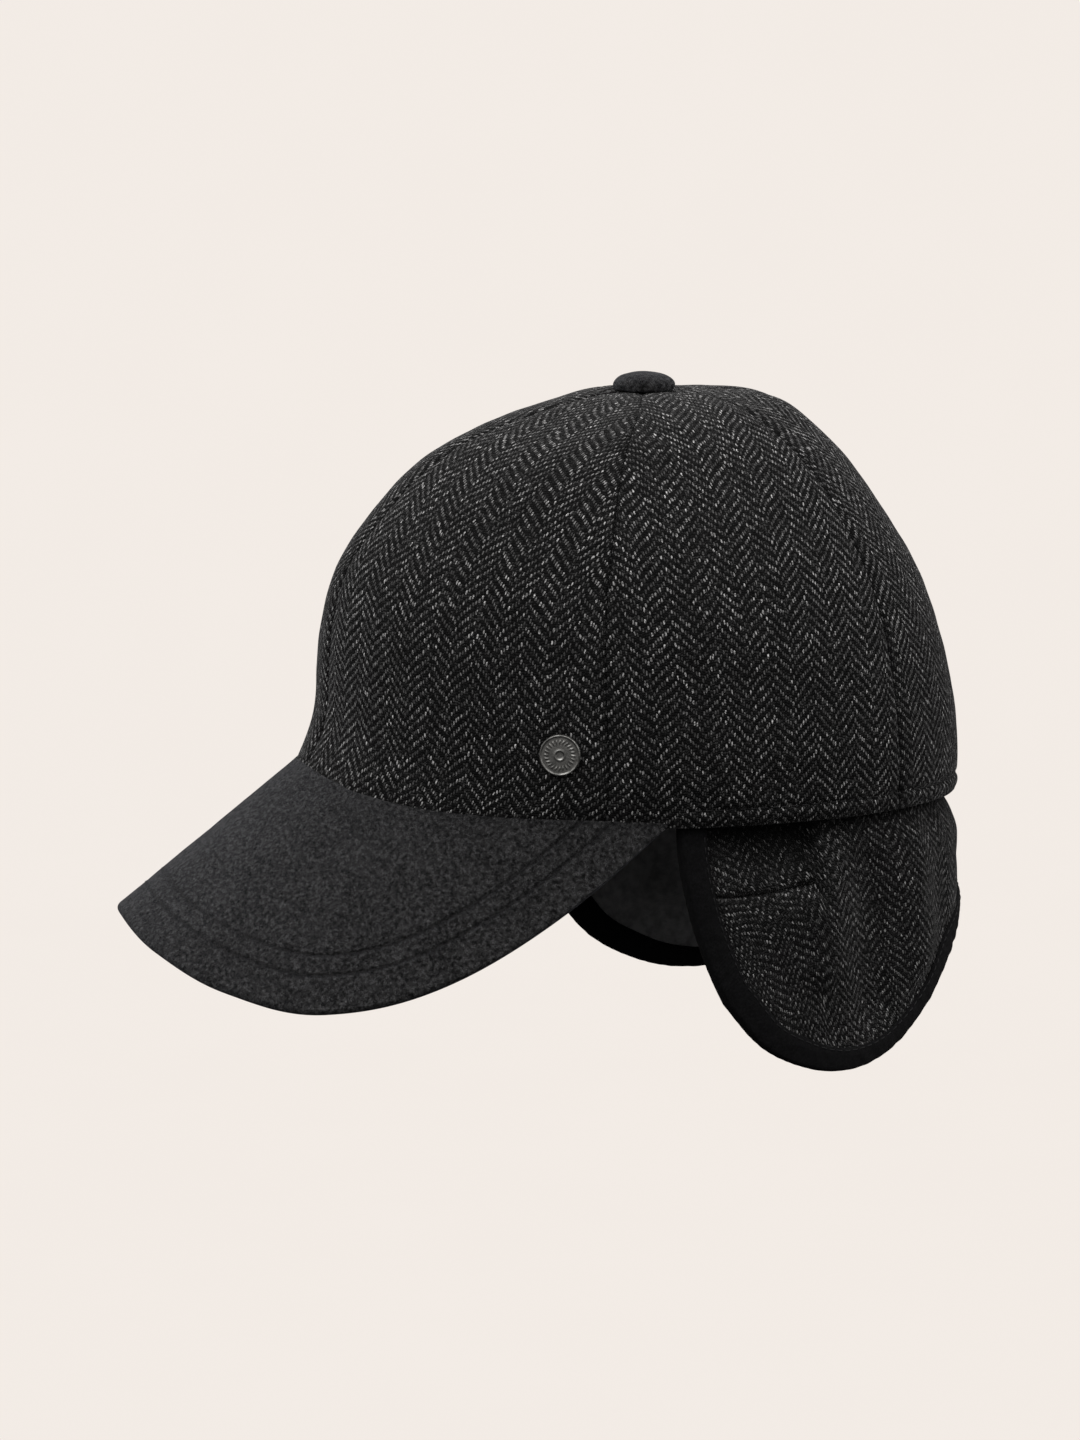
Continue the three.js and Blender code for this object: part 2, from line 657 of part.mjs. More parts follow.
const finishes = {
  herringbone: { color: 0x2b2b2c, roughness: 0.95, metalness: 0 },
  melton: { color: 0x2d2e31, roughness: 0.97, metalness: 0 },
  tape: { color: 0x0d0d0e, roughness: 0.9, metalness: 0 },
  pewter: { color: 0x6c6d6a, roughness: 0.4, metalness: 1 },
};

function addPiece(name, geometry, finish) {
  const mesh = new THREE.Mesh(geometry, new THREE.MeshStandardMaterial(finishes[finish]));
  mesh.name = name;
  part.add(mesh);
  return mesh;
}

// Where the rivet sits on the left front panel, its axis square to the cloth.
const rivetRise = riseAt(RIVET_TURN_DEGREES, RIVET_LEVEL);
const rivetAxis = domeNormal(RIVET_TURN_DEGREES, rivetRise);
const rivetPlace = new THREE.Matrix4().compose(
  domePoint(RIVET_TURN_DEGREES, rivetRise),
  new THREE.Quaternion().setFromUnitVectors(new THREE.Vector3(0, 0, 1), rivetAxis),
  new THREE.Vector3(1, 1, 1),
);

for (const panel of PANELS) {
  const from = SEAMS[panel.from];
  const to = SEAMS[panel.to];
  const left = panelGeometry(from, to, 1);
  const holdsRivet = RIVET_TURN_DEGREES > from.turn && RIVET_TURN_DEGREES < to.turn;
  addPiece(`crown_panel_${panel.name}_left`, holdsRivet ? pierced(left) : left, 'herringbone');
  addPiece(`crown_panel_${panel.name}_right`, panelGeometry(from, to, -1), 'herringbone');
}
addPiece('top_button', buttonGeometry(), 'melton').position.set(0, APEX_SETBACK, CROWN_HEIGHT - EYE_DIMPLE);
addPiece('peak', peakGeometry(), 'melton');
addPiece('ear_flap', flapGeometry(), 'herringbone');
addPiece('flap_binding', bindingGeometry(), 'tape');
addPiece('side_rivet', rivetGeometry(), 'pewter').applyMatrix4(rivetPlace);

export default part;
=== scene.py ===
"""Looks of a six panel wool cap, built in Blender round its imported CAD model.

The crown is herringbone cloth, the peak and the top button are melton, and a bound
flap runs from ear to ear round the nape. Shapes are worked out in millimetres in the
row frame: X to the wearer's left, Y to the back and Z up. Meshes are made in metres.
"""
import logging
import math
from dataclasses import dataclass
from enum import Enum
from typing import NamedTuple, Optional, Sequence, Union

import bpy
import numpy as np
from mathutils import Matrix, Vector


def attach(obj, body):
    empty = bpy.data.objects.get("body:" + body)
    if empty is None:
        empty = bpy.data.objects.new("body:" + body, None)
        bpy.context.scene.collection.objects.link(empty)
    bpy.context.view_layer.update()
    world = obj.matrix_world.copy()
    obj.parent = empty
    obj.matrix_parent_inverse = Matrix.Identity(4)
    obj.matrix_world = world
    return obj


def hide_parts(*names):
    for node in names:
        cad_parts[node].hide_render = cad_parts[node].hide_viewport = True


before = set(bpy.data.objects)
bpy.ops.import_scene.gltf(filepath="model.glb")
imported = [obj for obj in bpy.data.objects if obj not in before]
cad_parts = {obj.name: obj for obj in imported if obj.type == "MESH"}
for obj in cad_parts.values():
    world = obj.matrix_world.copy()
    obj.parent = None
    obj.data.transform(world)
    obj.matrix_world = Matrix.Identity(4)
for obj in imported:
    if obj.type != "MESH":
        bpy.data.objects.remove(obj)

LOG = logging.getLogger("cap")
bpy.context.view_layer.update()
MM = 0.001
BODY = "root"
HEM_MARGIN = 3.0
HEM_SINK = 0.55

Array = np.ndarray
Color = tuple[float, float, float, float]
Material = bpy.types.Material
Piece = bpy.types.Object


class Slot(Enum):
    """The record's material slots."""

    HERRINGBONE = "herringbone"
    MELTON = "melton"
    TAPE = "tape"
    PEWTER = "pewter"


class Side(Enum):
    """The wearer's left or right half, as the sign of X."""

    LEFT = 1
    RIGHT = -1


class CrownSection(NamedTuple):
    """Shares of the half head sizes at one rise, in degrees up the dome."""

    rise: float
    front: float
    side: float
    back: float


class RimSection(NamedTuple):
    """Level of the rim at one turn from the front, as a share of its rise."""

    turn: float
    level: float


class Seam(NamedTuple):
    """Where a seam meets the rim and how far it bows half way up, in degrees."""

    turn: float
    bow: float


class PeakSection(NamedTuple):
    """One line down the peak, from its middle (0) to its corner (1)."""

    share: float
    reach: float
    dip: float
    fan: float
    seat: float


class FlapSection(NamedTuple):
    """One line down the flap, from the nape (0) to its front edge (1)."""

    along: float
    rim_turn: float
    edge_turn: float
    drop: float
    lean: float


class FlapFold(NamedTuple):
    """A soft fold that runs down the flap."""

    turn: float
    swing: float
    width: float
    depth: float
    start: float
    end: float


class Dent(NamedTuple):
    """A soft dent in the crown, at a turn and a height above the rim."""

    turn: float
    height: float
    width: float
    tall: float
    depth: float


class Ripple(NamedTuple):
    """A soft unevenness of a surface, in millimetres, with the seed of its waves."""

    depth: float
    size: float
    seed: int


class Tape(NamedTuple):
    """A tape inside the crown: its seam, name, side and height of its end above the rim."""

    seam: str
    name: str
    side: Side
    start: float


class SoftBox(NamedTuple):
    """A square light round the cap, in degrees, metres and watts."""

    name: str
    azimuth: float
    elevation: float
    size: float
    watts: float


CROWN_SECTIONS = (
    CrownSection(0, 1.03, 0.99, 0.985),
    CrownSection(3.5, 1.0, 1.02, 0.99),
    CrownSection(8, 0.975, 1.04, 0.995),
    CrownSection(16, 0.995, 1.06, 0.995),
    CrownSection(25, 1.04, 1.09, 0.995),
    CrownSection(34, 1.085, 1.12, 0.995),
    CrownSection(44, 1.095, 1.145, 1.0),
    CrownSection(54, 1.12, 1.17, 1.055),
    CrownSection(64, 1.085, 1.19, 1.17),
    CrownSection(74, 0.86, 1.22, 1.46),
    CrownSection(82, 0.76, 1.26, 1.8),
    CrownSection(90, 0.74, 1.28, 1.9),
)

RIM_SECTIONS = (
    RimSection(0, 1),
    RimSection(15, 0.76),
    RimSection(30, 0.4),
    RimSection(50, 0.18),
    RimSection(81, 0.18),
    RimSection(115, 0.02),
    RimSection(150, -0.25),
    RimSection(180, -0.6),
)

SEAMS = {
    "front": Seam(0, 0),
    "temple": Seam(70, -3),
    "nape": Seam(127, 0),
    "back": Seam(180, 0),
}

PANELS = (("front", "front", "temple"), ("side", "temple", "nape"), ("back", "nape", "back"))

TAPES = (
    Tape("front", "seam_tape_front", Side.LEFT, 5.5),
    Tape("temple", "seam_tape_temple_left", Side.LEFT, 1.5),
    Tape("temple", "seam_tape_temple_right", Side.RIGHT, 1.5),
    Tape("nape", "seam_tape_nape_left", Side.LEFT, 14.0),
    Tape("nape", "seam_tape_nape_right", Side.RIGHT, 14.0),
    Tape("back", "seam_tape_back", Side.LEFT, 14.0),
)

PEAK_SECTIONS = (
    PeakSection(0, 1, 36.5, 0, 1),
    PeakSection(0.2, 1.023, 38, 4.7, 1),
    PeakSection(0.4, 1.041, 41.5, 9.5, 1),
    PeakSection(0.6, 1.022, 44.5, 14, 1),
    PeakSection(0.8, 0.807, 45.5, 18.5, 0.9),
    PeakSection(0.92, 0.456, 45.5, 22, 0.7),
    PeakSection(1, 0.057, 46, 25, 0.5),
)

FLAP_SECTIONS = (
    FlapSection(0, 180, 180, 0.42, 0.9),
    FlapSection(0.15, 166, 165, 0.48, 0.9),
    FlapSection(0.3, 152, 151, 0.61, 0.8),
    FlapSection(0.45, 139, 138, 0.8, 0.55),
    FlapSection(0.6, 125, 125, 0.955, 0.4),
    FlapSection(0.72, 113, 115, 1, 0.4),
    FlapSection(0.84, 101, 105.3, 0.965, 0.3),
    FlapSection(0.93, 91, 97.2, 0.865, 0.3),
    FlapSection(1, 83, 91, 0.7, 0.4),
)

FLAP_FOLDS = (
    FlapFold(108, 3, 4.5, 0.8, 0.05, 0.75),
    FlapFold(97, 1, 8, -0.7, 0.05, 0.32),
    FlapFold(119, 4, 5, -0.8, 0.1, 0.95),
    FlapFold(131, 6, 6, 0.7, 0.0, 0.9),
    FlapFold(145, 3, 6, -0.4, 0.25, 1.0),
)

CROWN_DENTS = (
    Dent(84, 7.5, 4.5, 3.5, 0.9),
    Dent(60.5, 22, 5.5, 8.0, 0.5),
    Dent(150, 15, 9, 7, 0.5),
    Dent(30, 70, 12, 14, 0.5),
    Dent(102, 12, 7, 4, 0.4),
)

CROWN_RIPPLES = (Ripple(0.3, 42.0, 5), Ripple(0.12, 13.0, 6))
SEAM_PUCKER = Ripple(0.22, 6.5, 7)
PEAK_RIPPLES = (Ripple(0.18, 34.0, 11), Ripple(0.06, 9.0, 12))
BUTTON_RIPPLES = (Ripple(0.12, 7.0, 21),)
FLAP_RIPPLES = (Ripple(0.35, 24.0, 31), Ripple(0.15, 9.0, 32))
TAPE_CRINKLES = (Ripple(0.16, 5.0, 41), Ripple(0.1, 2.6, 42))
TAPE_EDGE_CRINKLES = (Ripple(0.1, 4.0, 43),)

SOFT_BOXES = (
    SoftBox("key_box", 40.0, 50.0, 1.3, 14.5),
    SoftBox("back_box", 155.0, 32.0, 1.3, 11.0),
    SoftBox("front_box", -50.0, 22.0, 1.0, 10.0),
    SoftBox("low_box", 60.0, -65.0, 1.6, 1.6),
)


def smooth_step(value: Array) -> Array:
    """A smooth rise from 0 to 1 while value goes from 0 to 1."""
    share = np.clip(value, 0.0, 1.0)
    return share * share * (3.0 - 2.0 * share)


def bump(distance: Array, width: float) -> Array:
    """A bell of height 1 that falls off over width."""
    return np.exp(-((distance / width) ** 2))


def unit(vectors: Array) -> Array:
    """The same vectors at length 1."""
    return vectors / np.maximum(np.linalg.norm(vectors, axis=-1, keepdims=True), 1e-12)


def lerp(start: Array, end: Array, share: Array) -> Array:
    """The value at a share of the way from start to end."""
    return start + (end - start) * share


def inner_angles(count: int) -> Array:
    """Angles spread evenly inside a half turn, without its two ends."""
    return (np.arange(count) + 1) * math.pi / (count + 1)


def folded(turn: Array) -> Array:
    """A turn as degrees from the front, the same on both sides."""
    wrapped = np.abs(turn) % 360.0
    return np.minimum(wrapped, 360.0 - wrapped)


def ripple(points: Array, size: float, seed: int) -> Array:
    """A soft, repeatable unevenness.

    Args:
        points: Places in millimetres, with the three coordinates last.
        size: Usual length of one ripple, in millimetres.
        seed: Picks the directions and phases.

    Returns:
        A value from about -1 to 1 for each place.
    """
    dice = np.random.default_rng(seed)
    total = np.zeros(points.shape[:-1])
    for _ in range(9):
        way = unit(dice.normal(size=3)) * dice.uniform(0.7, 1.5) * 2.0 * math.pi / size
        total += np.sin(points @ way + dice.uniform(0.0, 2.0 * math.pi))
    return total / 4.5


def uneven(points: Array, ripples: Sequence[Ripple]) -> Array:
    """How far a surface with these ripples stands out at each place, in millimetres."""
    return sum(one.depth * ripple(points, one.size, one.seed) for one in ripples)


class Curve:
    """A smooth curve through named places of a table, as the CAD part draws it."""

    def __init__(self, rows: Sequence[NamedTuple], at: str, name: str, level: bool = False) -> None:
        """Takes one column of a table.

        Args:
            rows: The table.
            at: Name of the column that holds the places.
            name: Name of the column that holds the values.
            level: True if the curve starts out level.
        """
        self.places = np.array([getattr(row, at) for row in rows], float)
        self.values = np.array([getattr(row, name) for row in rows], float)
        self.level = level

    def __call__(self, place: Array) -> Array:
        """The curve's value at each place.

        Args:
            place: Where to read the curve, held within the table.

        Returns:
            The values, one for each place.
        """
        xs, ys, last = self.places, self.values, len(self.places) - 1
        at = np.clip(np.asarray(place, float), xs[0], xs[-1])
        high = np.clip(np.searchsorted(xs, at, side="right"), 1, last)
        low = high - 1
        x0, x1 = xs[low], xs[high]
        half = (x1 - x0) * 0.5
        first, final = low == 0, high == last
        before = np.where(first, x0 - (x1 - x0) if self.level else x1, xs[np.maximum(low - 1, 0)])
        after = np.where(final, x0, xs[np.minimum(high + 1, last)])
        y_before = np.where(first, ys[high], ys[np.maximum(low - 1, 0)])
        y_after = np.where(final, ys[low], ys[np.minimum(high + 1, last)])
        w0, w1 = half / (x0 - before), half / (after - x1)
        p = (at - x0) / (x1 - x0)
        p2, p3 = p * p, p * p * p
        return (
            (-w0 * p3 + 2 * w0 * p2 - w0 * p) * y_before
            + ((1 + w0) * p3 + (-1.5 - 2 * w0) * p2 + (-0.5 + w0) * p + 1) * ys[low]
            + ((-1 - w1) * p3 + (1.5 + w1) * p2 + 0.5 * p) * ys[high]
            + (w1 * p3 - w1 * p2) * y_after
        )


@dataclass
class CrownForm:
    """The dome that the panels follow, in millimetres."""

    length: float = 204.0
    width: float = 162.0
    height: float = 120.4
    wall: float = 2.4
    apex_setback: float = 3.0
    eye_dimple: float = 1.6
    dimple_span: float = 13.0
    rim_rise: float = 8.8
    eye_radius: float = 3.2
    near_top: float = 89.9
    hem: float = 4.4
    peak_turn: float = 81.0

    def __post_init__(self) -> None:
        """Draws the curves of the tables."""
        self.front_share = Curve(CROWN_SECTIONS, "rise", "front")
        self.side_share = Curve(CROWN_SECTIONS, "rise", "side")
        self.back_share = Curve(CROWN_SECTIONS, "rise", "back")
        self.rim_level = Curve(RIM_SECTIONS, "turn", "level", level=True)

    def rim(self, turn: Array) -> Array:
        """Height of the rim at each turn."""
        return self.rim_rise * self.rim_level(folded(turn))

    def point(self, turn: Array, rise: Array) -> Array:
        """Places on the smooth dome.

        Args:
            turn: Degrees round from the front, towards the wearer's left.
            rise: Degrees up the dome, 0 at the rim and 90 at the top.

        Returns:
            The places, with the three coordinates last.
        """
        turn, rise = np.broadcast_arrays(np.asarray(turn, float), np.asarray(rise, float))
        angle, climb, run = np.radians(turn), np.sin(np.radians(rise)), np.cos(np.radians(rise))
        forward = 0.5 + 0.5 * np.cos(angle)
        long = self.front_share(rise) * forward + self.back_share(rise) * (1.0 - forward)
        rim = self.rim(turn)
        dimple = self.eye_dimple * smooth_step(1.0 - (90.0 - rise) / self.dimple_span)
        return np.stack(
            [
                self.width / 2 * self.side_share(rise) * run * np.sin(angle),
                self.apex_setback * smooth_step(climb) - self.length / 2 * long * run * np.cos(angle),
                rim + (self.height - rim) * climb - dimple,
            ],
            axis=-1,
        )

    def normal(self, turn: Array, rise: Array) -> Array:
        """Outward directions of the dome at each turn and rise.

        Args:
            turn: Degrees round from the front, towards the wearer's left.
            rise: Degrees up the dome, 0 at the rim and 90 at the top.

        Returns:
            The directions, each of length 1.
        """
        level = np.minimum(rise, 89.0)
        across = self.point(turn + 0.5, level) - self.point(turn - 0.5, level)
        up = self.point(turn, level + 0.5) - self.point(turn, level - 0.5)
        return unit(np.cross(across, up))

    def degree(self, turn: Array, rise: Array) -> Array:
        """Length of one degree of turn along the dome's face, in millimetres."""
        return np.linalg.norm(self.point(turn + 0.5, rise) - self.point(turn - 0.5, rise), axis=-1)

    def rise_at(self, turn: Array, height: Array) -> Array:
        """Degrees up the dome at a height above the rim."""
        return np.degrees(np.arcsin(np.clip(height / (self.height - self.rim(turn)), 0.0, 1.0)))

    def rise_at_radius(self, turn: Array, radius: float) -> Array:
        """Degrees up the dome at a small distance from its axis.

        Args:
            turn: Degrees round from the front, towards the wearer's left.
            radius: The distance in millimetres.

        Returns:
            The rise for each turn.
        """
        top = self.point(turn, np.full_like(np.asarray(turn, float), self.near_top))
        run = np.hypot(top[..., 0], top[..., 1] - self.apex_setback)
        return np.degrees(np.arccos(radius / (run / math.cos(math.radians(self.near_top)))))

    def eye_rise(self, turn: Array) -> Array:
        """Degrees up the dome where the eye under the button begins."""
        return self.rise_at_radius(turn, self.eye_radius)

    def beside(self, turn: Array, height: Array, outward: float) -> Array:
        """Places beside the dome's outer face, at a height above the rim.

        Args:
            turn: Degrees round from the front, towards the wearer's left.
            height: Height above the rim, less than 0 straight below it.
            outward: Distance out from the face, less than 0 inside it.

        Returns:
            The places, with the three coordinates last.
        """
        turn, height = np.broadcast_arrays(np.asarray(turn, float), np.asarray(height, float))
        rise = self.rise_at(turn, np.maximum(height, 0.0))
        places = self.point(turn, rise) + self.normal(turn, rise) * outward
        places[..., 2] += np.minimum(height, 0.0)
        return places


@dataclass
class PeakForm:
    """The arched peak in front of the crown, in millimetres."""

    crown: CrownForm
    length: float = 74.4
    thickness: float = 4.2
    seam_thickness: float = 3.0
    swell_length: float = 17.0
    seat: float = 4.6

    def __post_init__(self) -> None:
        """Draws the curves of the table."""
        self.reach = Curve(PEAK_SECTIONS, "share", "reach", level=True)
        self.dip = Curve(PEAK_SECTIONS, "share", "dip", level=True)
        self.fan = Curve(PEAK_SECTIONS, "share", "fan")
        self.seat_share = Curve(PEAK_SECTIONS, "share", "seat", level=True)

    def share(self, turn: Array) -> Array:
        """How far a turn lies from the peak's middle to its corner."""
        return np.clip(np.abs(turn) / self.crown.peak_turn, 0.0, 1.0)

    def total(self, turn: Array) -> Array:
        """Length of the peak at each turn, from the middle of the crown's wall."""
        return self.length * self.reach(self.share(turn))

    def top(self, turn: Array, distance: Array) -> Array:
        """Places on the peak's upper face.

        Args:
            turn: Where the line starts on the crown, in degrees from the front.
            distance: How far down the line, in millimetres.

        Returns:
            The places, with the three coordinates last.
        """
        turn, distance = np.broadcast_arrays(np.asarray(turn, float), np.asarray(distance, float))
        share = self.share(turn)
        dip = np.radians(self.dip(share))
        fan = np.radians(self.fan(share)) * np.sign(turn)
        away = np.stack([np.cos(dip) * np.sin(fan), -np.cos(dip) * np.cos(fan), -np.sin(dip)], axis=-1)
        root = self.crown.beside(turn, self.seat * self.seat_share(share), -self.crown.wall / 2)
        return root + away * distance[..., None]

    def below(self, turn: Array, distance: Array) -> Array:
        """Directions square to the upper face, pointing down.

        Args:
            turn: Where the line starts on the crown, in degrees from the front.
            distance: How far down the line, in millimetres.

        Returns:
            The directions, each of length 1.
        """
        far = np.maximum(distance, 2.0)
        across = self.top(turn + 0.5, far) - self.top(turn - 0.5, far)
        along = self.top(turn, far + 1.0) - self.top(turn, far - 1.0)
        return unit(np.cross(across, along))

    def body(self, distance: Array) -> Array:
        """Thickness of the peak at a distance from the crown."""
        return lerp(self.seam_thickness, self.thickness, smooth_step(distance / self.swell_length))


@dataclass
class FlapForm:
    """The flap from ear to ear round the nape, in millimetres."""

    crown: CrownForm
    drop: float = 77.0
    thickness: float = 2.8
    tuck: float = 12.0
    clearance: float = 0.6
    lean: float = 4.5
    lean_span: float = 0.42
    fold_depth: float = 3.4
    fold_fade: float = 0.15
    free_edge: float = 0.1
    dart_depth: float = 1.6
    dart_tip_turn: float = 107.0
    dart_tip_fade: float = 6.0
    dart_tip_drop: float = 0.27
    dart_front_drop: float = 0.37
    dart_front_turn: float = 86.0
    dart_width: float = 0.05

    def __post_init__(self) -> None:
        """Draws the curves of the table."""
        self.rim_turn = Curve(FLAP_SECTIONS, "along", "rim_turn")
        self.edge_turn = Curve(FLAP_SECTIONS, "along", "edge_turn")
        self.drop_share = Curve(FLAP_SECTIONS, "along", "drop", level=True)
        self.lean_share = Curve(FLAP_SECTIONS, "along", "lean", level=True)

    def dart_drop(self, turn: Array) -> Array:
        """How far down the flap the dart's line lies, as a share of the drop."""
        share = (self.dart_tip_turn - turn) / (self.dart_tip_turn - self.dart_front_turn)
        return lerp(self.dart_tip_drop, self.dart_front_drop, np.clip(share, 0.0, 1.0))

    def relief(self, along: Array, turn: Array, down: Array) -> Array:
        """How far the folds and the dart move the flap outward.

        Args:
            along: From 0 at the nape to 1 at the front edge.
            turn: Degrees round from the front, towards the wearer's left.
            down: From 0 at the rim to 1 at the free edge.

        Returns:
            The distance outward in millimetres.
        """
        edge_fade = smooth_step((1.0 - along - self.free_edge / 2) / (self.free_edge / 2))
        total = np.zeros_like(turn)
        for fold in FLAP_FOLDS:
            middle = fold.turn + fold.swing * down
            fade = smooth_step((down - fold.start) / self.fold_fade)
            fade = fade * smooth_step((fold.end - down) / self.fold_fade)
            total = total + self.fold_depth * fold.depth * bump(turn - middle, fold.width) * fade
        tip = smooth_step(0.5 + (self.dart_tip_turn - turn) / self.dart_tip_fade)
        dart = self.dart_depth * bump(down - self.dart_drop(turn), self.dart_width) * tip
        return (total - dart) * edge_fade

    def point(self, place: Array, down: Array) -> Array:
        """Places on the flap's outer face.

        Args:
            place: From -1 at the right front edge over 0 at the nape to 1 at the left.
            down: From 0 at the rim to 1 at the free edge, less than 0 in the tuck.

        Returns:
            The places, with the three coordinates last.
        """
        place, down = np.broadcast_arrays(np.asarray(place, float), np.asarray(down, float))
        along, side, under = np.abs(place), np.where(place < 0, -1.0, 1.0), np.maximum(down, 0.0)
        turn = lerp(self.rim_turn(along), self.edge_turn(along), under**2)
        rise = self.crown.rise_at(turn, np.maximum(-down, 0.0) * self.tuck)
        inset = self.crown.wall + self.clearance
        places = self.crown.point(turn, rise) - self.crown.normal(turn, rise) * inset
        angle = np.radians(turn)
        outward = np.stack([np.sin(angle), -np.cos(angle), np.zeros_like(angle)], axis=-1)
        lean = self.lean * self.lean_share(along) * smooth_step(under / self.lean_span)
        places = places + outward * (lean + self.relief(along, turn, under))[..., None]
        places[..., 2] -= self.drop * self.drop_share(along) * under
        places[..., 0] *= side
        return places

    def normal(self, place: Array, down: Array) -> Array:
        """Outward directions of the flap at each place.

        Args:
            place: From -1 at the right front edge to 1 at the left.
            down: From 0 at the rim to 1 at the free edge, less than 0 in the tuck.

        Returns:
            The directions, each of length 1.
        """
        place, down = np.broadcast_arrays(np.asarray(place, float), np.asarray(down, float))
        inner, level = np.clip(place, -0.995, 0.995), np.clip(down, -0.98, 0.985)
        along = self.point(inner + 0.005, level) - self.point(inner - 0.005, level)
        deep = self.point(inner, level + 0.015) - self.point(inner, level - 0.015)
        normal = unit(np.cross(along, deep))
        outward = self.point(place, down) * np.array([1.0, 1.0, 0.0])
        return normal * np.where((normal * outward).sum(-1) < 0, -1.0, 1.0)[..., None]

    def inward(self, place: Array, down: Array, way: Array, step: float) -> tuple[Array, Array]:
        """Walks over the flap's face.

        Args:
            place: Where the walk starts, along the flap.
            down: Where the walk starts, down the flap.
            way: Directions of the walk.
            step: Its length in millimetres.

        Returns:
            The place and down that are reached.
        """
        small = 0.002
        base_place, base_down = np.clip(place, -1 + small, 1 - small), np.clip(down, small, 1 - small)
        here = self.point(base_place, base_down)
        over = (self.point(base_place + small, base_down) - here) / small
        deep = (self.point(base_place, base_down + small) - here) / small
        aa, ab, bb = (over * over).sum(-1), (over * deep).sum(-1), (deep * deep).sum(-1)
        wa, wb = (way * over).sum(-1) * step, (way * deep).sum(-1) * step
        det = np.maximum(aa * bb - ab * ab, 1e-9)
        new_place = place + (wa * bb - wb * ab) / det
        new_down = down + (wb * aa - wa * ab) / det
        return np.clip(new_place, -1.0, 1.0), np.clip(new_down, 0.0, 1.0)


def make_piece(
    name: str,
    points: Array,
    faces: Array,
    looks: Sequence[Material],
    look_of: Optional[Array] = None,
    uv: Optional[Array] = None,
    corner_uv: Optional[Array] = None,
    extra: Optional[dict[str, Array]] = None,
    sharp: float = 60.0,
) -> Piece:
    """Makes one mesh object.

    Args:
        name: The object's name.
        points: Its vertices in millimetres, one per row.
        faces: Its faces, four vertex numbers per row. A triangle repeats its last one.
        looks: Its materials.
        look_of: Number of the material of each face.
        uv: A pattern place in millimetres for each vertex.
        corner_uv: The same for each face corner, used instead of uv.
        extra: More UV maps by name, with two values for each vertex.
        sharp: Edges that turn by more than this many degrees are drawn sharp.

    Returns:
        The new object.
    """
    mesh = bpy.data.meshes.new(name)
    rows = [row[:3] if row[2] == row[3] else row for row in faces.tolist()]
    mesh.from_pydata((points * MM).tolist(), [], rows)
    for look in looks:
        mesh.materials.append(look)
    if look_of is not None:
        mesh.polygons.foreach_set("material_index", np.asarray(look_of, np.int32))
    corners = np.zeros(len(mesh.loops), np.int32)
    mesh.loops.foreach_get("vertex_index", corners)
    maps = {} if uv is None else {"Pattern": uv[corners]}
    if corner_uv is not None:
        maps["Pattern"] = corner_uv
    maps.update({label: values[corners] for label, values in (extra or {}).items()})
    for label, values in maps.items():
        mesh.uv_layers.new(name=label).uv.foreach_set("vector", values.astype(np.float32).ravel())
    mesh.polygons.foreach_set("use_smooth", np.ones(len(mesh.polygons), bool))
    mesh.set_sharp_from_angle(angle=math.radians(sharp))
    mesh.validate()
    mesh.update()
    piece = bpy.data.objects.new(name, mesh)
    bpy.context.scene.collection.objects.link(piece)
    return piece


def wall_faces(columns: int, path: int, ring: bool = True) -> Array:
    """Faces of a wall whose columns run down one side and back up the other.

    Args:
        columns: Number of columns.
        path: Number of points in each column, an even number.
        ring: True to close the two ends of each column.

    Returns:
        Four vertex numbers per face: first the wall, then its closed ring, then both ends.
    """
    i, j = np.meshgrid(np.arange(columns - 1), np.arange(path - 1), indexing="ij")
    at = i * path + j
    parts = [np.stack([at, at + 1, at + path + 1, at + path], -1).reshape(-1, 4)]
    if ring:
        first = np.arange(columns - 1) * path
        last = first + path - 1
        parts.append(np.stack([last, first, first + path, last + path], -1))
    k = np.arange(path // 2 - 1)
    mirror = path - 1 - k
    parts.append(np.stack([k, mirror, mirror - 1, k + 1], -1))
    end = (columns - 1) * path
    parts.append(np.stack([end + k + 1, end + mirror - 1, end + mirror, end + k], -1))
    return np.concatenate(parts)


def tube_faces(rings: int, size: int) -> Array:
    """Faces of a tube through rings of points, with both ends closed by fans of quads.

    Args:
        rings: Number of rings.
        size: Number of points in each ring, an even number.

    Returns:
        Four vertex numbers per face: first the tube, then both ends.
    """
    i, j = np.meshgrid(np.arange(rings - 1), np.arange(size), indexing="ij")
    here, over = i * size + j, i * size + (j + 1) % size
    parts = [np.stack([here, over, over + size, here + size], -1).reshape(-1, 4)]
    for ring, flip in ((0, True), (rings - 1, False)):
        k = np.arange(size // 2 - 1)
        quad = ring * size + np.stack([k, k + 1, size - 2 - k, size - 1 - k], -1)
        parts.append(quad[:, ::-1] if flip else quad)
    return np.concatenate(parts)


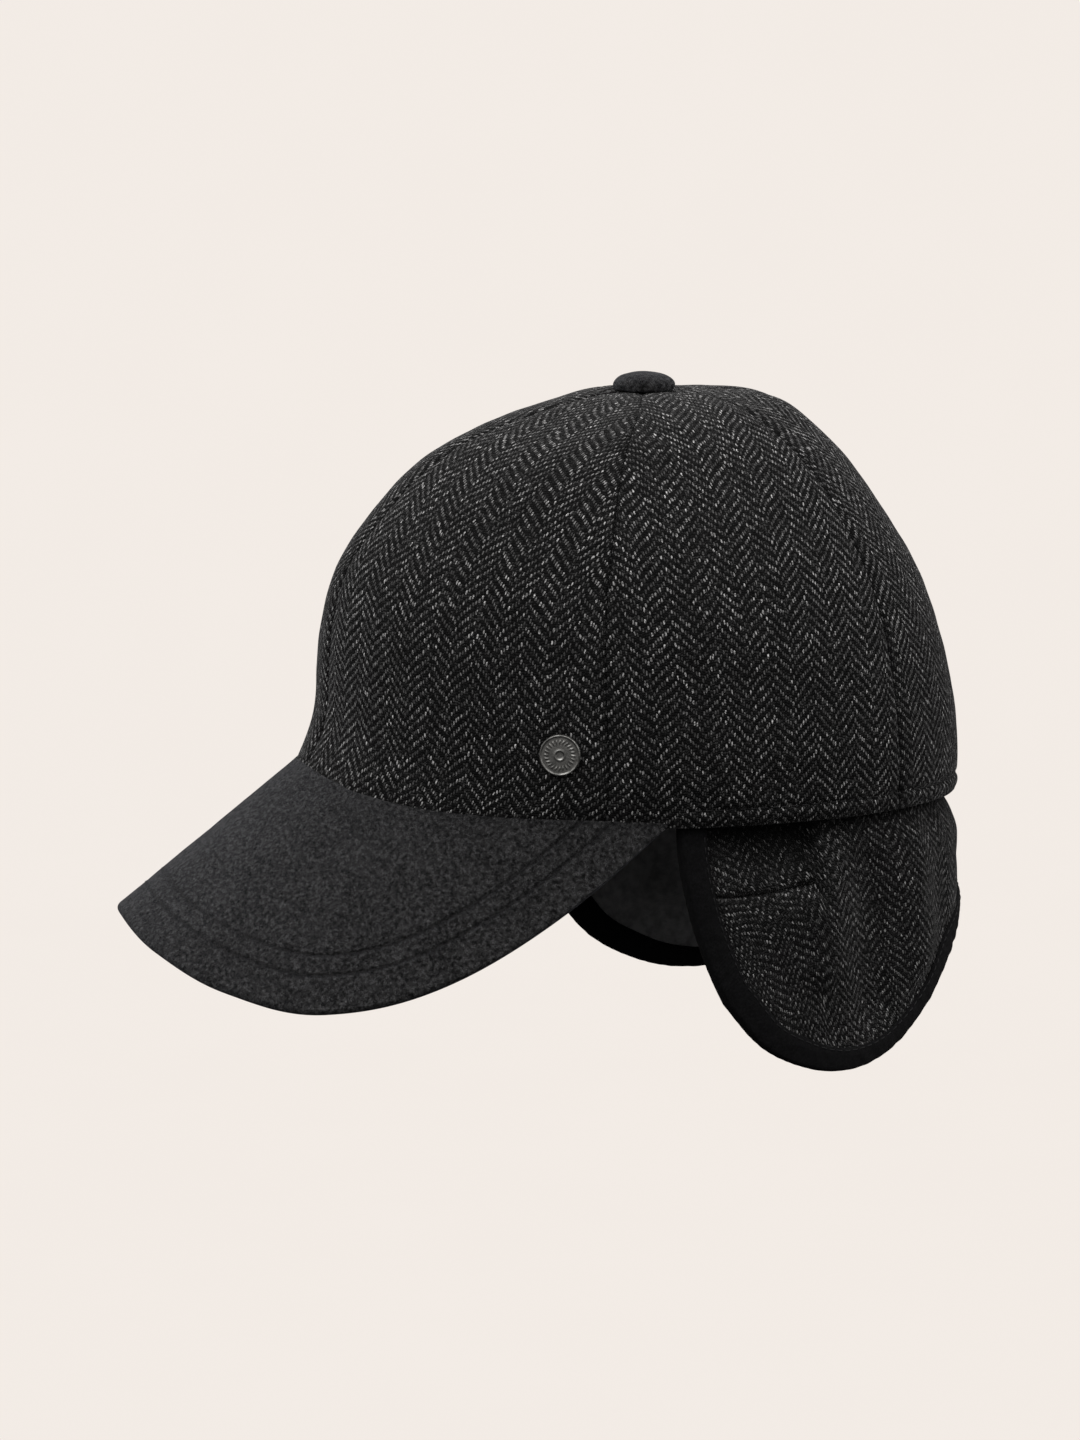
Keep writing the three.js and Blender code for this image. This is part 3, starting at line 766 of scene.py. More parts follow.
def lathe(profile: Array, sides: int) -> tuple[Array, Array, Array]:
    """Turns a profile round the Z axis.

    Args:
        profile: Radius and height of each point, from the lower middle to the upper one.
        sides: Number of sides.

    Returns:
        The points, the faces and a pattern place for each point: the distance along the
        profile and the angle in degrees.
    """
    angle = np.arange(sides) * 2 * math.pi / sides
    radius, height = profile[:, 0], profile[:, 1]
    ring = np.stack([np.cos(angle), np.sin(angle)], -1)
    flat = radius[:, None, None] * ring[None]
    tall = np.broadcast_to(height[:, None, None], flat.shape[:2] + (1,))
    points = np.concatenate([flat, tall], -1).reshape(-1, 3)
    i, j = np.meshgrid(np.arange(len(profile) - 1), np.arange(sides), indexing="ij")
    here, over = i * sides + j, i * sides + (j + 1) % sides
    faces = np.stack([here, over, over + sides, here + sides], -1).reshape(-1, 4)
    run = np.concatenate([[0.0], np.cumsum(np.linalg.norm(np.diff(profile, axis=0), axis=1))])
    pattern = np.stack(np.broadcast_arrays(run[:, None], np.degrees(angle)[None]), -1).reshape(-1, 2)
    return points, faces, pattern


def lengths_along(points: Array, axis: int) -> Array:
    """Distance run along one axis of a grid of points, from its first row or column.

    Args:
        points: The grid, with the three coordinates last.
        axis: The axis to run along.

    Returns:
        The distance run to each point.
    """
    steps = np.linalg.norm(np.diff(points, axis=axis), axis=-1)
    start = np.zeros_like(np.take(steps, [0], axis=axis))
    return np.concatenate([start, np.cumsum(steps, axis=axis)], axis=axis)


class Wire:
    """One output of a shader node, with arithmetic that adds Math nodes."""

    def __init__(self, dye: "Dye", socket: bpy.types.NodeSocket) -> None:
        """Keeps the socket and the material it belongs to."""
        self.dye = dye
        self.socket = socket

    def math(self, operation: str, *others: Union["Wire", float]) -> "Wire":
        """A Math node on this wire and others.

        Args:
            operation: The node's operation.
            others: Its other inputs.

        Returns:
            The node's output.
        """
        node = self.dye.node("ShaderNodeMath", operation=operation)
        for place, value in enumerate((self, *others)):
            self.dye.join(value, node.inputs[place])
        return Wire(self.dye, node.outputs[0])

    def __add__(self, other: Union["Wire", float]) -> "Wire":
        """The sum."""
        return self.math("ADD", other)

    def __sub__(self, other: Union["Wire", float]) -> "Wire":
        """The difference."""
        return self.math("SUBTRACT", other)

    def __mul__(self, other: Union["Wire", float]) -> "Wire":
        """The product."""
        return self.math("MULTIPLY", other)

    def __truediv__(self, other: Union["Wire", float]) -> "Wire":
        """The quotient."""
        return self.math("DIVIDE", other)

    def floor(self) -> "Wire":
        """The whole number below."""
        return self.math("FLOOR")

    def fract(self) -> "Wire":
        """What is left above the whole number."""
        return self.math("FRACT")

    def size(self) -> "Wire":
        """The value without its sign."""
        return self.math("ABSOLUTE")

    def raised(self, power: float) -> "Wire":
        """The value to a power."""
        return self.math("POWER", power)

    def below(self, limit: Union["Wire", float]) -> "Wire":
        """1 where the value is less than the limit, or else 0."""
        return self.math("LESS_THAN", limit)

    def arch(self) -> "Wire":
        """1 at 0, falling to 0 at -1 and 1, as a thread's round back does."""
        return (self * self).math("MULTIPLY_ADD", -1.0, 1.0).math("MAXIMUM", 0.0)

    def between(self, low: float, high: float) -> "Wire":
        """A smooth rise from 0 to 1 while the value goes from low to high.

        Args:
            low: Where the rise starts.
            high: Where it ends, which may be less than low.

        Returns:
            The rise.
        """
        node = self.dye.node("ShaderNodeMapRange", interpolation_type="SMOOTHSTEP")
        self.dye.join(self, node.inputs["Value"])
        node.inputs["From Min"].default_value = low
        node.inputs["From Max"].default_value = high
        return Wire(self.dye, node.outputs["Result"])


class Dye:
    """A material in the making, with its main shader."""

    def __init__(self, name: str) -> None:
        """Starts a material of that name.

        Args:
            name: The material's name.
        """
        self.material = bpy.data.materials.new(name)
        self.material.use_nodes = True
        self.tree = self.material.node_tree
        self.shader = self.tree.nodes["Principled BSDF"]

    def node(self, kind: str, **settings: Union[str, float, bool]) -> bpy.types.Node:
        """A new node with some of its settings.

        Args:
            kind: The node's type.
            settings: Values of its properties.

        Returns:
            The node.
        """
        made = self.tree.nodes.new(kind)
        for name, value in settings.items():
            setattr(made, name, value)
        return made

    def join(self, value: Union[Wire, float, Sequence[float]], socket: bpy.types.NodeSocket) -> None:
        """Links a wire to an input, or writes a number or colour there.

        Args:
            value: The wire, number or colour.
            socket: The input.
        """
        if isinstance(value, Wire):
            self.tree.links.new(value.socket, socket)
        else:
            socket.default_value = value

    def pattern(self, name: str = "Pattern") -> tuple[Wire, Wire]:
        """The two coordinates of a UV map, in millimetres.

        Args:
            name: The UV map's name.

        Returns:
            The two coordinates.
        """
        source = self.node("ShaderNodeUVMap", uv_map=name)
        split = self.node("ShaderNodeSeparateXYZ")
        self.tree.links.new(source.outputs[0], split.inputs[0])
        return Wire(self, split.outputs[0]), Wire(self, split.outputs[1])

    def place(self, scale: Sequence[float] = (1000.0, 1000.0, 1000.0)) -> Wire:
        """The place on the object, scaled: in millimetres if the scale is left out.

        Args:
            scale: Factor along each axis.

        Returns:
            The scaled place.
        """
        source = self.node("ShaderNodeTexCoord")
        grown = self.node("ShaderNodeVectorMath", operation="MULTIPLY")
        self.tree.links.new(source.outputs["Object"], grown.inputs[0])
        grown.inputs[1].default_value = scale
        return Wire(self, grown.outputs[0])

    def vector(self, x: Union[Wire, float], y: Union[Wire, float], z: Union[Wire, float] = 0.0) -> Wire:
        """A vector from three values.

        Args:
            x: First value.
            y: Second value.
            z: Third value.

        Returns:
            The vector.
        """
        node = self.node("ShaderNodeCombineXYZ")
        for place, value in enumerate((x, y, z)):
            self.join(value, node.inputs[place])
        return Wire(self, node.outputs[0])

    def cloud(self, where: Wire, size: float, detail: float = 2.0, twist: float = 0.0) -> Wire:
        """Soft noise whose usual blotch has that size in the units of where, about 0 to 1.

        Args:
            where: The place that the noise is read at.
            size: Size of a blotch.
            detail: Number of finer layers.
            twist: How far the noise is bent by itself.

        Returns:
            The noise.
        """
        node = self.node("ShaderNodeTexNoise")
        self.join(where, node.inputs["Vector"])
        node.inputs["Scale"].default_value = 1.0 / size
        node.inputs["Detail"].default_value = detail
        node.inputs["Distortion"].default_value = twist
        return Wire(self, node.outputs[0])

    def dice(self, a: Wire, b: Wire) -> Wire:
        """A value from 0 to 1 that is the same wherever a and b are.

        Args:
            a: First value.
            b: Second value.

        Returns:
            The random value.
        """
        node = self.node("ShaderNodeTexWhiteNoise", noise_dimensions="2D")
        self.join(self.vector(a, b), node.inputs["Vector"])
        return Wire(self, node.outputs["Value"])

    def blend(
        self,
        share: Union[Wire, float],
        start: Union[Wire, Sequence[float]],
        end: Union[Wire, Sequence[float]],
    ) -> Wire:
        """A colour between two others.

        Args:
            share: Share of the way from start to end.
            start: Colour at 0.
            end: Colour at 1.

        Returns:
            The colour.
        """
        node = self.node("ShaderNodeMix", data_type="RGBA")
        self.join(share, node.inputs[0])
        self.join(start, node.inputs[6])
        self.join(end, node.inputs[7])
        return Wire(self, node.outputs[2])

    def relief(self, height: Wire, depth: float, strength: float = 1.0, over: Optional[Wire] = None) -> Wire:
        """A bump from a height of 0 to 1 that stands for depth millimetres.

        Args:
            height: The height.
            depth: What a height of 1 stands for, in millimetres.
            strength: Share of the bump that is kept.
            over: Normal of a bump that it is laid on.

        Returns:
            The normal.
        """
        node = self.node("ShaderNodeBump")
        self.join(height, node.inputs["Height"])
        node.inputs["Distance"].default_value = depth * MM
        node.inputs["Strength"].default_value = strength
        if over is not None:
            self.join(over, node.inputs["Normal"])
        return Wire(self, node.outputs[0])

    def finish(
        self,
        color: Union[Wire, Sequence[float]],
        normal: Optional[Wire] = None,
        **values: Union[Wire, float, Sequence[float]],
    ) -> Material:
        """Joins the colour, the normal and the named inputs to the main shader.

        Args:
            color: The base colour.
            normal: The normal, if the surface has relief.
            values: Other inputs by name, in lower case with underscores.

        Returns:
            The finished material.
        """
        self.join(color, self.shader.inputs["Base Color"])
        if normal is not None:
            self.join(normal, self.shader.inputs["Normal"])
        for name, value in values.items():
            self.join(value, self.shader.inputs[name.replace("_", " ").title().replace("Ior", "IOR")])
        return self.material


@dataclass(frozen=True)
class HerringboneWool:
    """Brushed wool in a two by two herringbone, light warp on a black weft."""

    name: str = "crown_wool"
    pitch: float = 0.8
    ends: int = 9
    nap: float = 0.33
    wander: float = 1.0
    weft: Color = (0.0035, 0.0035, 0.0036, 1.0)
    weft_light: Color = (0.12, 0.12, 0.12, 1.0)
    warp_dark: Color = (0.016, 0.016, 0.0162, 1.0)
    warp_light: Color = (0.93, 0.93, 0.93, 1.0)
    fuzz: Color = (0.05, 0.05, 0.051, 1.0)
    jitter: float = 0.9
    depth: float = 0.3
    # Painted shade along the seams and the flap's dart: its width in millimetres, then its strength.
    seam_shade: float = 0.75
    painted_seam_shade: float = 0.6
    # Painted shadow of the crown's rim on the flap: how far below the rim it reaches in millimetres, then
    # its strength.
    rim_shade: float = 21.0
    painted_rim_shadow: float = 0.85

    def material(self) -> Material:
        """Builds the shader.

        Returns:
            The material.
        """
        dye = Dye(self.name)
        u, v = dye.pattern()
        place = dye.place()
        wander = self.wander
        u = u + (dye.cloud(place, 7.0) - 0.5) * (1.6 * wander)
        u = u + (dye.cloud(place, 1.3) - 0.5) * (0.35 * wander)
        v = v + (dye.cloud(place, 9.0) - 0.5) * (1.8 * wander)
        v = v + (dye.cloud(place, 1.1) - 0.5) * (0.4 * wander)
        yarn = u / self.pitch
        end = yarn.floor()
        column = (end / float(self.ends)).floor()
        step = end - column * float(self.ends)
        odd = (column / 2.0).fract() * 2.0
        shift = step * (odd * -2.0 + 1.0) + odd * float(self.ends + 1)
        pick = v / self.pitch + dye.dice(end, column) * self.jitter
        cycle = (pick + shift) / 4.0
        phase = cycle.fract()
        over = phase.below(0.5)
        across = (yarn.fract() - 0.5) * 2.0
        along = phase * 4.0 - 1.0
        dash = across.arch() * along.arch().raised(0.6) * over
        rib = ((pick.fract() - 0.5) * 2.0).arch() * (over * -1.0 + 1.0)
        luck = dye.dice(end, cycle.floor())
        fibre = dye.cloud(dye.vector(u * 3.6, v * 1.5), 1.0, detail=3.0)
        speck = dye.cloud(place, 0.38, detail=1.0)
        bright = luck.raised(3.0) * 0.9 + 0.1
        bright = bright * fibre.between(0.3, 0.72) * (speck.between(0.3, 0.62) * 0.85 + 0.15)
        warp = dye.blend(bright, self.warp_dark, self.warp_light)
        fleck = dye.dice(pick.floor(), end).raised(4.0) * rib * speck.between(0.35, 0.7)
        weft = dye.blend(fleck * 0.5, self.weft, self.weft_light)
        cloth = dye.blend(dash.between(0.35, 0.8), weft, warp)
        down = dye.cloud(place, 0.5, detail=4.0, twist=1.5).between(0.48, 0.8)
        color = dye.blend(down * self.nap, cloth, self.fuzz)
        away, under = dye.pattern("Seam")
        # Painted shade in the seam and dart valleys: the cloth turns towards the black weft close to them.
        shade = (away + (dye.cloud(place, 1.5) - 0.5) * 0.3).between(self.seam_shade, 0.1)
        color = dye.blend(shade * self.painted_seam_shade, color, self.weft)
        # Painted shadow under the crown's rim: the flap's cloth turns towards the black weft near the rim.
        hidden = (under + (dye.cloud(place, 4.0) - 0.5) * 3.0).between(self.rim_shade, 4.0)
        color = dye.blend(hidden * self.painted_rim_shadow, color, self.weft)
        height = dash + rib * 0.55 + fibre * 0.3
        normal = dye.relief(height, self.depth)
        normal = dye.relief(dye.cloud(place, 16.0), 1.4, over=normal)
        return dye.finish(
            color, normal, roughness=0.95, specular_ior_level=0.06,
            sheen_weight=0.17, sheen_roughness=0.15, sheen_tint=(0.9, 0.9, 0.92, 1.0),
        )


@dataclass(frozen=True)
class MeltonWool:
    """Charcoal felted wool, its surface a mat of short fibres."""

    name: str = "melton_wool"
    rows: tuple[float, ...] = ()
    dark: Color = (0.002, 0.002, 0.0021, 1.0)
    light: Color = (0.024, 0.024, 0.0245, 1.0)
    hair: Color = (0.3, 0.3, 0.31, 1.0)
    depth: float = 0.25

    def material(self) -> Material:
        """Builds the shader.

        Returns:
            The material.
        """
        dye = Dye(self.name)
        place = dye.place()
        felt = dye.cloud(place, 0.95, detail=5.0, twist=0.8)
        drift = dye.cloud(place, 9.0, detail=2.0)
        mottle = (felt * 0.85 + drift * 0.15).between(0.38, 0.62)
        strands = (dye.cloud(place, 1.5, detail=1.0, twist=4.0) - 0.5).size()
        strand = strands.between(0.03, 0.0)
        fine = (dye.cloud(place, 0.7, detail=2.0, twist=3.0) - 0.5).size().between(0.045, 0.0)
        color = dye.blend(mottle, self.dark, self.light)
        here = dye.cloud(place, 1.3, detail=3.0).between(0.42, 0.66)
        color = dye.blend((strand * 0.5).math("MAXIMUM", fine * 0.35) * here, color, self.hair)
        height = felt * 0.7 + strand * 0.25 + fine * 0.2
        normal = dye.relief(height, self.depth)
        if self.rows:
            inset, _ = dye.pattern("Rows")
            first, *others = [((inset - row) / 1.1).arch().raised(2.0) for row in self.rows]
            for other in others:
                first = first + other
            # Painted shade in the grooves of the stitch rows, which the next line also presses in as relief.
            color = dye.blend(first * 0.6, color, self.dark)
            normal = dye.relief(first * -1.0, 0.35, over=normal)
        return dye.finish(
            color, normal, roughness=0.95, specular_ior_level=0.06,
            sheen_weight=0.14, sheen_roughness=0.3, sheen_tint=(0.82, 0.85, 0.95, 1.0),
        )


@dataclass(frozen=True)
class BindingTape:
    """Black folded tape with a fine slanting rib."""

    rib: float = 0.5
    dark: Color = (0.0016, 0.0016, 0.0019, 1.0)
    light: Color = (0.009, 0.009, 0.0098, 1.0)

    def material(self) -> Material:
        """Builds the shader.

        Returns:
            The material.
        """
        dye = Dye("binding_tape")
        u, v = dye.pattern()
        place = dye.place()
        slant = (u + v * 0.9 + (dye.cloud(place, 2.5) - 0.5) * 0.5) / self.rib
        rib = ((slant.fract() - 0.5) * 2.0).arch()
        lint = dye.cloud(place, 0.6, detail=4.0, twist=1.0)
        color = dye.blend(rib * lint.between(0.3, 0.75), self.dark, self.light)
        normal = dye.relief(rib * 0.6 + lint * 0.4, 0.12)
        normal = dye.relief(dye.cloud(place, 5.0, detail=1.0), 0.5, over=normal)
        return dye.finish(
            color, normal, roughness=0.9, specular_ior_level=0.08,
            sheen_weight=0.02, sheen_roughness=0.5, sheen_tint=(0.8, 0.8, 0.82, 1.0),
        )


@dataclass(frozen=True)
class PewterMetal:
    """Aged pewter grey metal, with darker, rougher stains at random and a fine grain."""

    bright: Color = (0.26, 0.26, 0.25, 1.0)
    dull: Color = (0.1, 0.1, 0.096, 1.0)

    def material(self) -> Material:
        """Builds the shader.

        Returns:
            The material.
        """
        dye = Dye("pewter_metal")
        place = dye.place()
        stain = dye.cloud(place, 1.6, detail=4.0).between(0.35, 0.7)
        grain = dye.cloud(place, 0.25, detail=2.0)
        color = dye.blend(stain, self.bright, self.dull)
        rough = (stain * 0.2 + grain * 0.15) + 0.28
        normal = dye.relief(grain, 0.04)
        return dye.finish(color, normal, roughness=rough, metallic=1.0)


@dataclass(frozen=True)
class SewingThread:
    """Dark twisted sewing thread."""

    dark: Color = (0.003, 0.003, 0.0035, 1.0)
    light: Color = (0.016, 0.016, 0.018, 1.0)

    def material(self) -> Material:
        """Builds the shader.

        Returns:
            The material.
        """
        dye = Dye("sewing_thread")
        u, v = dye.pattern()
        twist = ((u * 3.5 + v * 2.0).fract() - 0.5) * 2.0
        lint = dye.cloud(dye.place(), 0.4, detail=2.0)
        color = dye.blend(twist.arch() * lint, self.dark, self.light)
        return dye.finish(color, dye.relief(twist.arch(), 0.05), roughness=0.7, specular_ior_level=0.3)


@dataclass(frozen=True)
class LiningCloth:
    """Plain grey cloth on the inner faces, in a fine even weave."""

    pitch: float = 0.45
    dark: Color = (0.1, 0.1, 0.104, 1.0)
    light: Color = (0.26, 0.26, 0.268, 1.0)

    def material(self) -> Material:
        """Builds the shader.

        Returns:
            The material.
        """
        dye = Dye("lining_cloth")
        u, v = dye.pattern()
        warp = (((u / self.pitch).fract() - 0.5) * 2.0).arch()
        weft = (((v / self.pitch).fract() - 0.5) * 2.0).arch()
        slub = dye.cloud(dye.place(), 3.0, detail=4.0)
        weave = (warp + weft) * 0.5
        color = dye.blend(weave * slub.between(0.2, 0.8), self.dark, self.light)
        normal = dye.relief(weave, 0.12)
        return dye.finish(color, normal, roughness=0.9, specular_ior_level=0.2, sheen_weight=0.2)


@dataclass(frozen=True)
class PalePaper:
    """The pale floor and backdrop, almost even."""

    light: Color = (0.897, 0.84, 0.792, 1.0)
    shade: Color = (0.888, 0.83, 0.782, 1.0)
    black: Color = (0.0, 0.0, 0.0, 1.0)

    def material(self) -> Material:
        """Builds the shader.

        Returns:
            The material.
        """
        dye = Dye("pale_paper")
        tone = dye.cloud(dye.place((3.0, 3.0, 3.0)), 1.0, detail=1.0)
        glow = dye.blend(tone, self.light, self.shade)
        dye.material.cycles.emission_sampling = "NONE"
        return dye.finish(
            self.black, roughness=1.0, specular_ior_level=0.0, emission_color=glow, emission_strength=1.0
        )


def settle(piece: Piece, slot: Slot, *nodes: str) -> Piece:
    """Lets a piece ride on the cap and hides the CAD nodes that it stands for.

    Args:
        piece: The piece.
        slot: Not used.
        nodes: CAD nodes that it takes the place of.

    Returns:
        The same piece.
    """
    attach(piece, BODY)
    if nodes:
        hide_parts(*nodes)
    LOG.info("%s: %d faces", piece.name, len(piece.data.polygons))
    return piece


@dataclass
class CrownPanel:
    """One gore of the crown between two seams, hemmed at the rim."""

    form: CrownForm
    name: str
    first: Seam
    last: Seam
    side: Side
    gap: float = 0.12
    columns: int = 61
    upper_rows: int = 74
    hem_rows: int = 22
    hem_zone: float = 7.0
    roll_points: int = 6
    soft_valley: float = 0.5
    sharp_valley: float = 0.7
    soft_width: float = 3.4
    sharp_width: float = 0.75
    pucker_width: float = 2.2
    hem_groove: float = 0.6
    groove_width: float = 0.8
    hem_roll: float = 0.5
    behind_peak: float = 6.0
    top_fade: float = 12.0
    no_shade: float = 99.0

    def _shares(self) -> Array:
        """Places of the columns from one seam to the other, closer near the seams.

        Returns:
            Shares from 0 at the first seam to 1 at the last one, or the other way round.
        """
        even = np.linspace(-1.0, 1.0, self.columns)
        share = 0.5 + 0.5 * (0.6 * np.sin(even * math.pi / 2) + 0.4 * even)
        return share if self.side is Side.LEFT else share[::-1]

    def _grid(self) -> tuple[Array, Array, Array, Array]:
        """Turn, rise, distance to the nearest seam and height, for each column and row.

        Returns:
            The four grids, a row for each column of the cloth.
        """
        form, share = self.form, self._shares()[:, None]
        base = lerp(self.first.turn, self.last.turn, share) * self.side.value
        low = form.rise_at(base, np.linspace(0.0, self.hem_zone, self.hem_rows)[None, :])
        high = lerp(low[:, -1:], form.eye_rise(base), np.linspace(0.0, 1.0, self.upper_rows + 1)[None, 1:])
        rise = np.concatenate([low, high], axis=1)
        swing = np.sin(np.radians(2.0 * rise))
        start, end = self.first.turn + self.first.bow * swing, self.last.turn + self.last.bow * swing
        inset = self.gap / 2 / form.degree(start, rise)
        turn = lerp(start + inset, end - inset, share) * self.side.value
        wide = form.degree((start + end) / 2, rise) * (end - start)
        seam = (0.5 - np.abs(share - 0.5)) * wide
        return turn, rise, seam, form.point(turn, rise)[..., 2] - form.rim(turn)

    def _raised(self, turn: Array, seam: Array, height: Array, places: Array) -> Array:
        """How far the cloth stands out from the smooth dome.

        Args:
            turn: Degrees round from the front, towards the wearer's left.
            seam: Distance to the nearest seam.
            height: Height above the rim.
            places: Places on the smooth dome.

        Returns:
            The distance outward in millimetres.
        """
        behind = smooth_step((folded(turn) - self.form.peak_turn) / self.behind_peak)
        top_fade = smooth_step((self.form.height - height) / self.top_fade)
        valley = self.soft_valley * bump(seam, self.soft_width)
        valley = valley + self.sharp_valley * bump(seam, self.sharp_width)
        valley = valley * (0.35 + 0.65 * top_fade) * smooth_step(height / self.form.hem + 0.35)
        hem = self.hem_groove * bump(height - self.form.hem, self.groove_width) * behind
        roll = self.hem_roll * np.sin(np.clip(height / self.form.hem, 0, 1) * math.pi) * behind
        total = roll - valley - hem + uneven(places, CROWN_RIPPLES)
        total = total + bump(seam, self.pucker_width) * uneven(places, (SEAM_PUCKER,))
        for dent in CROWN_DENTS:
            near = bump(folded(turn) - dent.turn, dent.width) * bump(height - dent.height, dent.tall)
            total = total - dent.depth * near
        return total

    def build(
        self, cloth: Material, lining: Material, thread: Material
    ) -> Piece:
        """Makes the gore.

        Args:
            cloth: Finish of the outer face.
            lining: Finish of the inner face.
            thread: Dark finish of the edges inside the seams.

        Returns:
            The gore, in place of its CAD node.
        """
        turn, rise, seam, height = self._grid()
        smooth, normal = self.form.point(turn, rise), self.form.normal(turn, rise)
        outer = smooth + normal * self._raised(turn, seam, height, smooth)[..., None]
        inner = smooth - normal * self.form.wall
        middle, half = (outer[:, :1] + inner[:, :1]) / 2, (outer[:, :1] - inner[:, :1]) / 2
        angle = inner_angles(self.roll_points)
        down = np.array([0.0, 0.0, -self.form.wall * 0.45])
        roll = middle + half * np.cos(angle)[None, :, None] + down * np.sin(angle)[None, :, None]
        path = np.concatenate([outer[:, ::-1], roll, inner], axis=1)

        centre = self.columns // 2
        across = lengths_along(outer, 0)
        u = across - across[centre]
        v = np.broadcast_to(lengths_along(outer, 1)[centre], u.shape)
        pattern = np.stack([u, v], -1)
        rolled = np.repeat(pattern[:, :1], self.roll_points, axis=1)
        rolled[..., 1] -= np.arange(1, self.roll_points + 1) * 0.5
        uv = np.concatenate([pattern[:, ::-1], rolled, pattern], axis=1)
        # Distances for the painted shade: to the nearest seam, and a large one so that no painted rim shadow
        # falls on the crown.
        away = np.stack([seam, np.full_like(seam, self.no_shade)], -1)
        edge_away = np.repeat(away[:, :1], self.roll_points, axis=1)
        away = np.concatenate([away[:, ::-1], edge_away, away], axis=1)

        steps, outside = path.shape[1], outer.shape[1] + self.roll_points
        faces = wall_faces(self.columns, steps)
        look = np.full(len(faces), 2)
        along = np.tile((np.arange(steps - 1) >= outside).astype(int), self.columns - 1)
        look[: len(along)] = along
        piece = make_piece(
            self.name, path.reshape(-1, 3), faces, (cloth, lining, thread), look,
            uv=uv.reshape(-1, 2), extra={"Seam": away.reshape(-1, 2)},
        )
        settle(piece, Slot.HERRINGBONE, f"crown_panel_{self.name.removeprefix('gore_')}")
        return piece


@dataclass
class SeamTape:
    """A tape sewn over one seam on the crown's inner face."""

    form: CrownForm
    name: str
    seam: Seam
    side: Side
    start: float = 1.5
    end: float = 4.0
    half_width: float = 5.5
    thickness: float = 0.35
    gap: float = 0.04
    columns: int = 9
    rows: int = 60

    def build(self, tape: Material) -> Piece:
        """Makes the tape from just above the rim to near the eye.

        Args:
            tape: Its finish.

        Returns:
            The tape.
        """
        form, seam_turn = self.form, np.array(self.seam.turn)
        first = float(form.rise_at(seam_turn, np.array(self.start)))
        last = float(form.eye_rise(seam_turn)) - self.end
        rise = np.linspace(first, last, self.rows)[:, None]
        middle = self.seam.turn + self.seam.bow * np.sin(np.radians(2.0 * rise))
        share = np.linspace(-1.0, 1.0, self.columns)[None, :]
        across = self.half_width * share
        turn = (middle + across / form.degree(middle, rise)) * self.side.value
        smooth, normal = form.point(turn, rise), form.normal(turn, rise)
        puff = self.thickness * (0.55 + 0.45 * (1.0 - np.abs(share) ** 4))
        outer = smooth - normal * (form.wall + self.gap)
        inner = outer - normal * puff[..., None]
        path = np.concatenate([outer, inner[:, ::-1]], axis=1)
        u = np.broadcast_to(np.concatenate([across, across[:, ::-1]], axis=1), path.shape[:2])
        along = lengths_along(outer, 0)
        v = np.concatenate([along, along[:, ::-1]], axis=1)
        faces = wall_faces(self.rows, path.shape[1])
        if self.side is Side.RIGHT:
            faces = faces[:, ::-1]
        uv = np.stack([u, v], -1).reshape(-1, 2)
        piece = make_piece(self.name, path.reshape(-1, 3), faces, (tape,), uv=uv)
        settle(piece, Slot.TAPE)
        length = float(along[-1, self.columns // 2])
        2 * self.half_width * MM
        return piece


@dataclass
class StitchRow:
    """A row of sewn stitches along a line."""

    name: str
    thread: Material
    length: float = 2.5
    space: float = 0.9
    radius: float = 0.2
    sink: float = 0.08
    ring: int = 6
    shares: tuple[float, ...] = (0.0, 0.08, 0.3, 0.7, 0.92, 1.0)
    thickness: tuple[float, ...] = (0.35, 0.85, 1.0, 1.0, 0.85, 0.35)
    lift: tuple[float, ...] = (-0.22, -0.05, 0.06, 0.06, -0.05, -0.22)

    def build(self, line: Array, normal: Array, slot: Slot) -> Piece:
        """Makes the stitches as one piece.

        Args:
            line: The line they follow, in millimetres.
            normal: Outward direction of the cloth at each of its points.
            slot: Slot of the cloth they are sewn in.

        Returns:
            The row of stitches.
        """
        run = lengths_along(line, 0)
        count = int(run[-1] / (self.length + self.space))
        starts = (np.arange(count) + 0.5) * run[-1] / count - self.length / 2
        where = np.array(self.shares)
        thick = np.array(self.thickness) * self.radius
        lift = np.array(self.lift)
        at = starts[:, None] + where[None] * self.length
        centre = np.stack([np.interp(at, run, line[:, k]) for k in range(3)], -1)
        up = unit(np.stack([np.interp(at, run, normal[:, k]) for k in range(3)], -1))
        centre = centre + up * (lift + self.radius - self.sink)[None, :, None]
        ahead = unit(np.gradient(centre, axis=1))
        side = unit(np.cross(up, ahead))
        angle = np.arange(self.ring) * 2 * math.pi / self.ring
        ring = side[:, :, None] * np.cos(angle)[:, None] + up[:, :, None] * np.sin(angle)[:, None]
        points = centre[:, :, None] + ring * thick[None, :, None, None]
        one = tube_faces(len(where), self.ring)
        first = np.arange(count) * len(where) * self.ring
        faces = (one[None] + first[:, None, None]).reshape(-1, 4)
        v = np.broadcast_to(at[:, :, None], points.shape[:3])
        u = np.broadcast_to(np.arange(self.ring) * self.radius, points.shape[:3])
        uv = np.stack([u, v], -1).reshape(-1, 2)
        piece = make_piece(self.name, points.reshape(-1, 3), faces, (self.thread,), uv=uv)
        return settle(piece, slot)


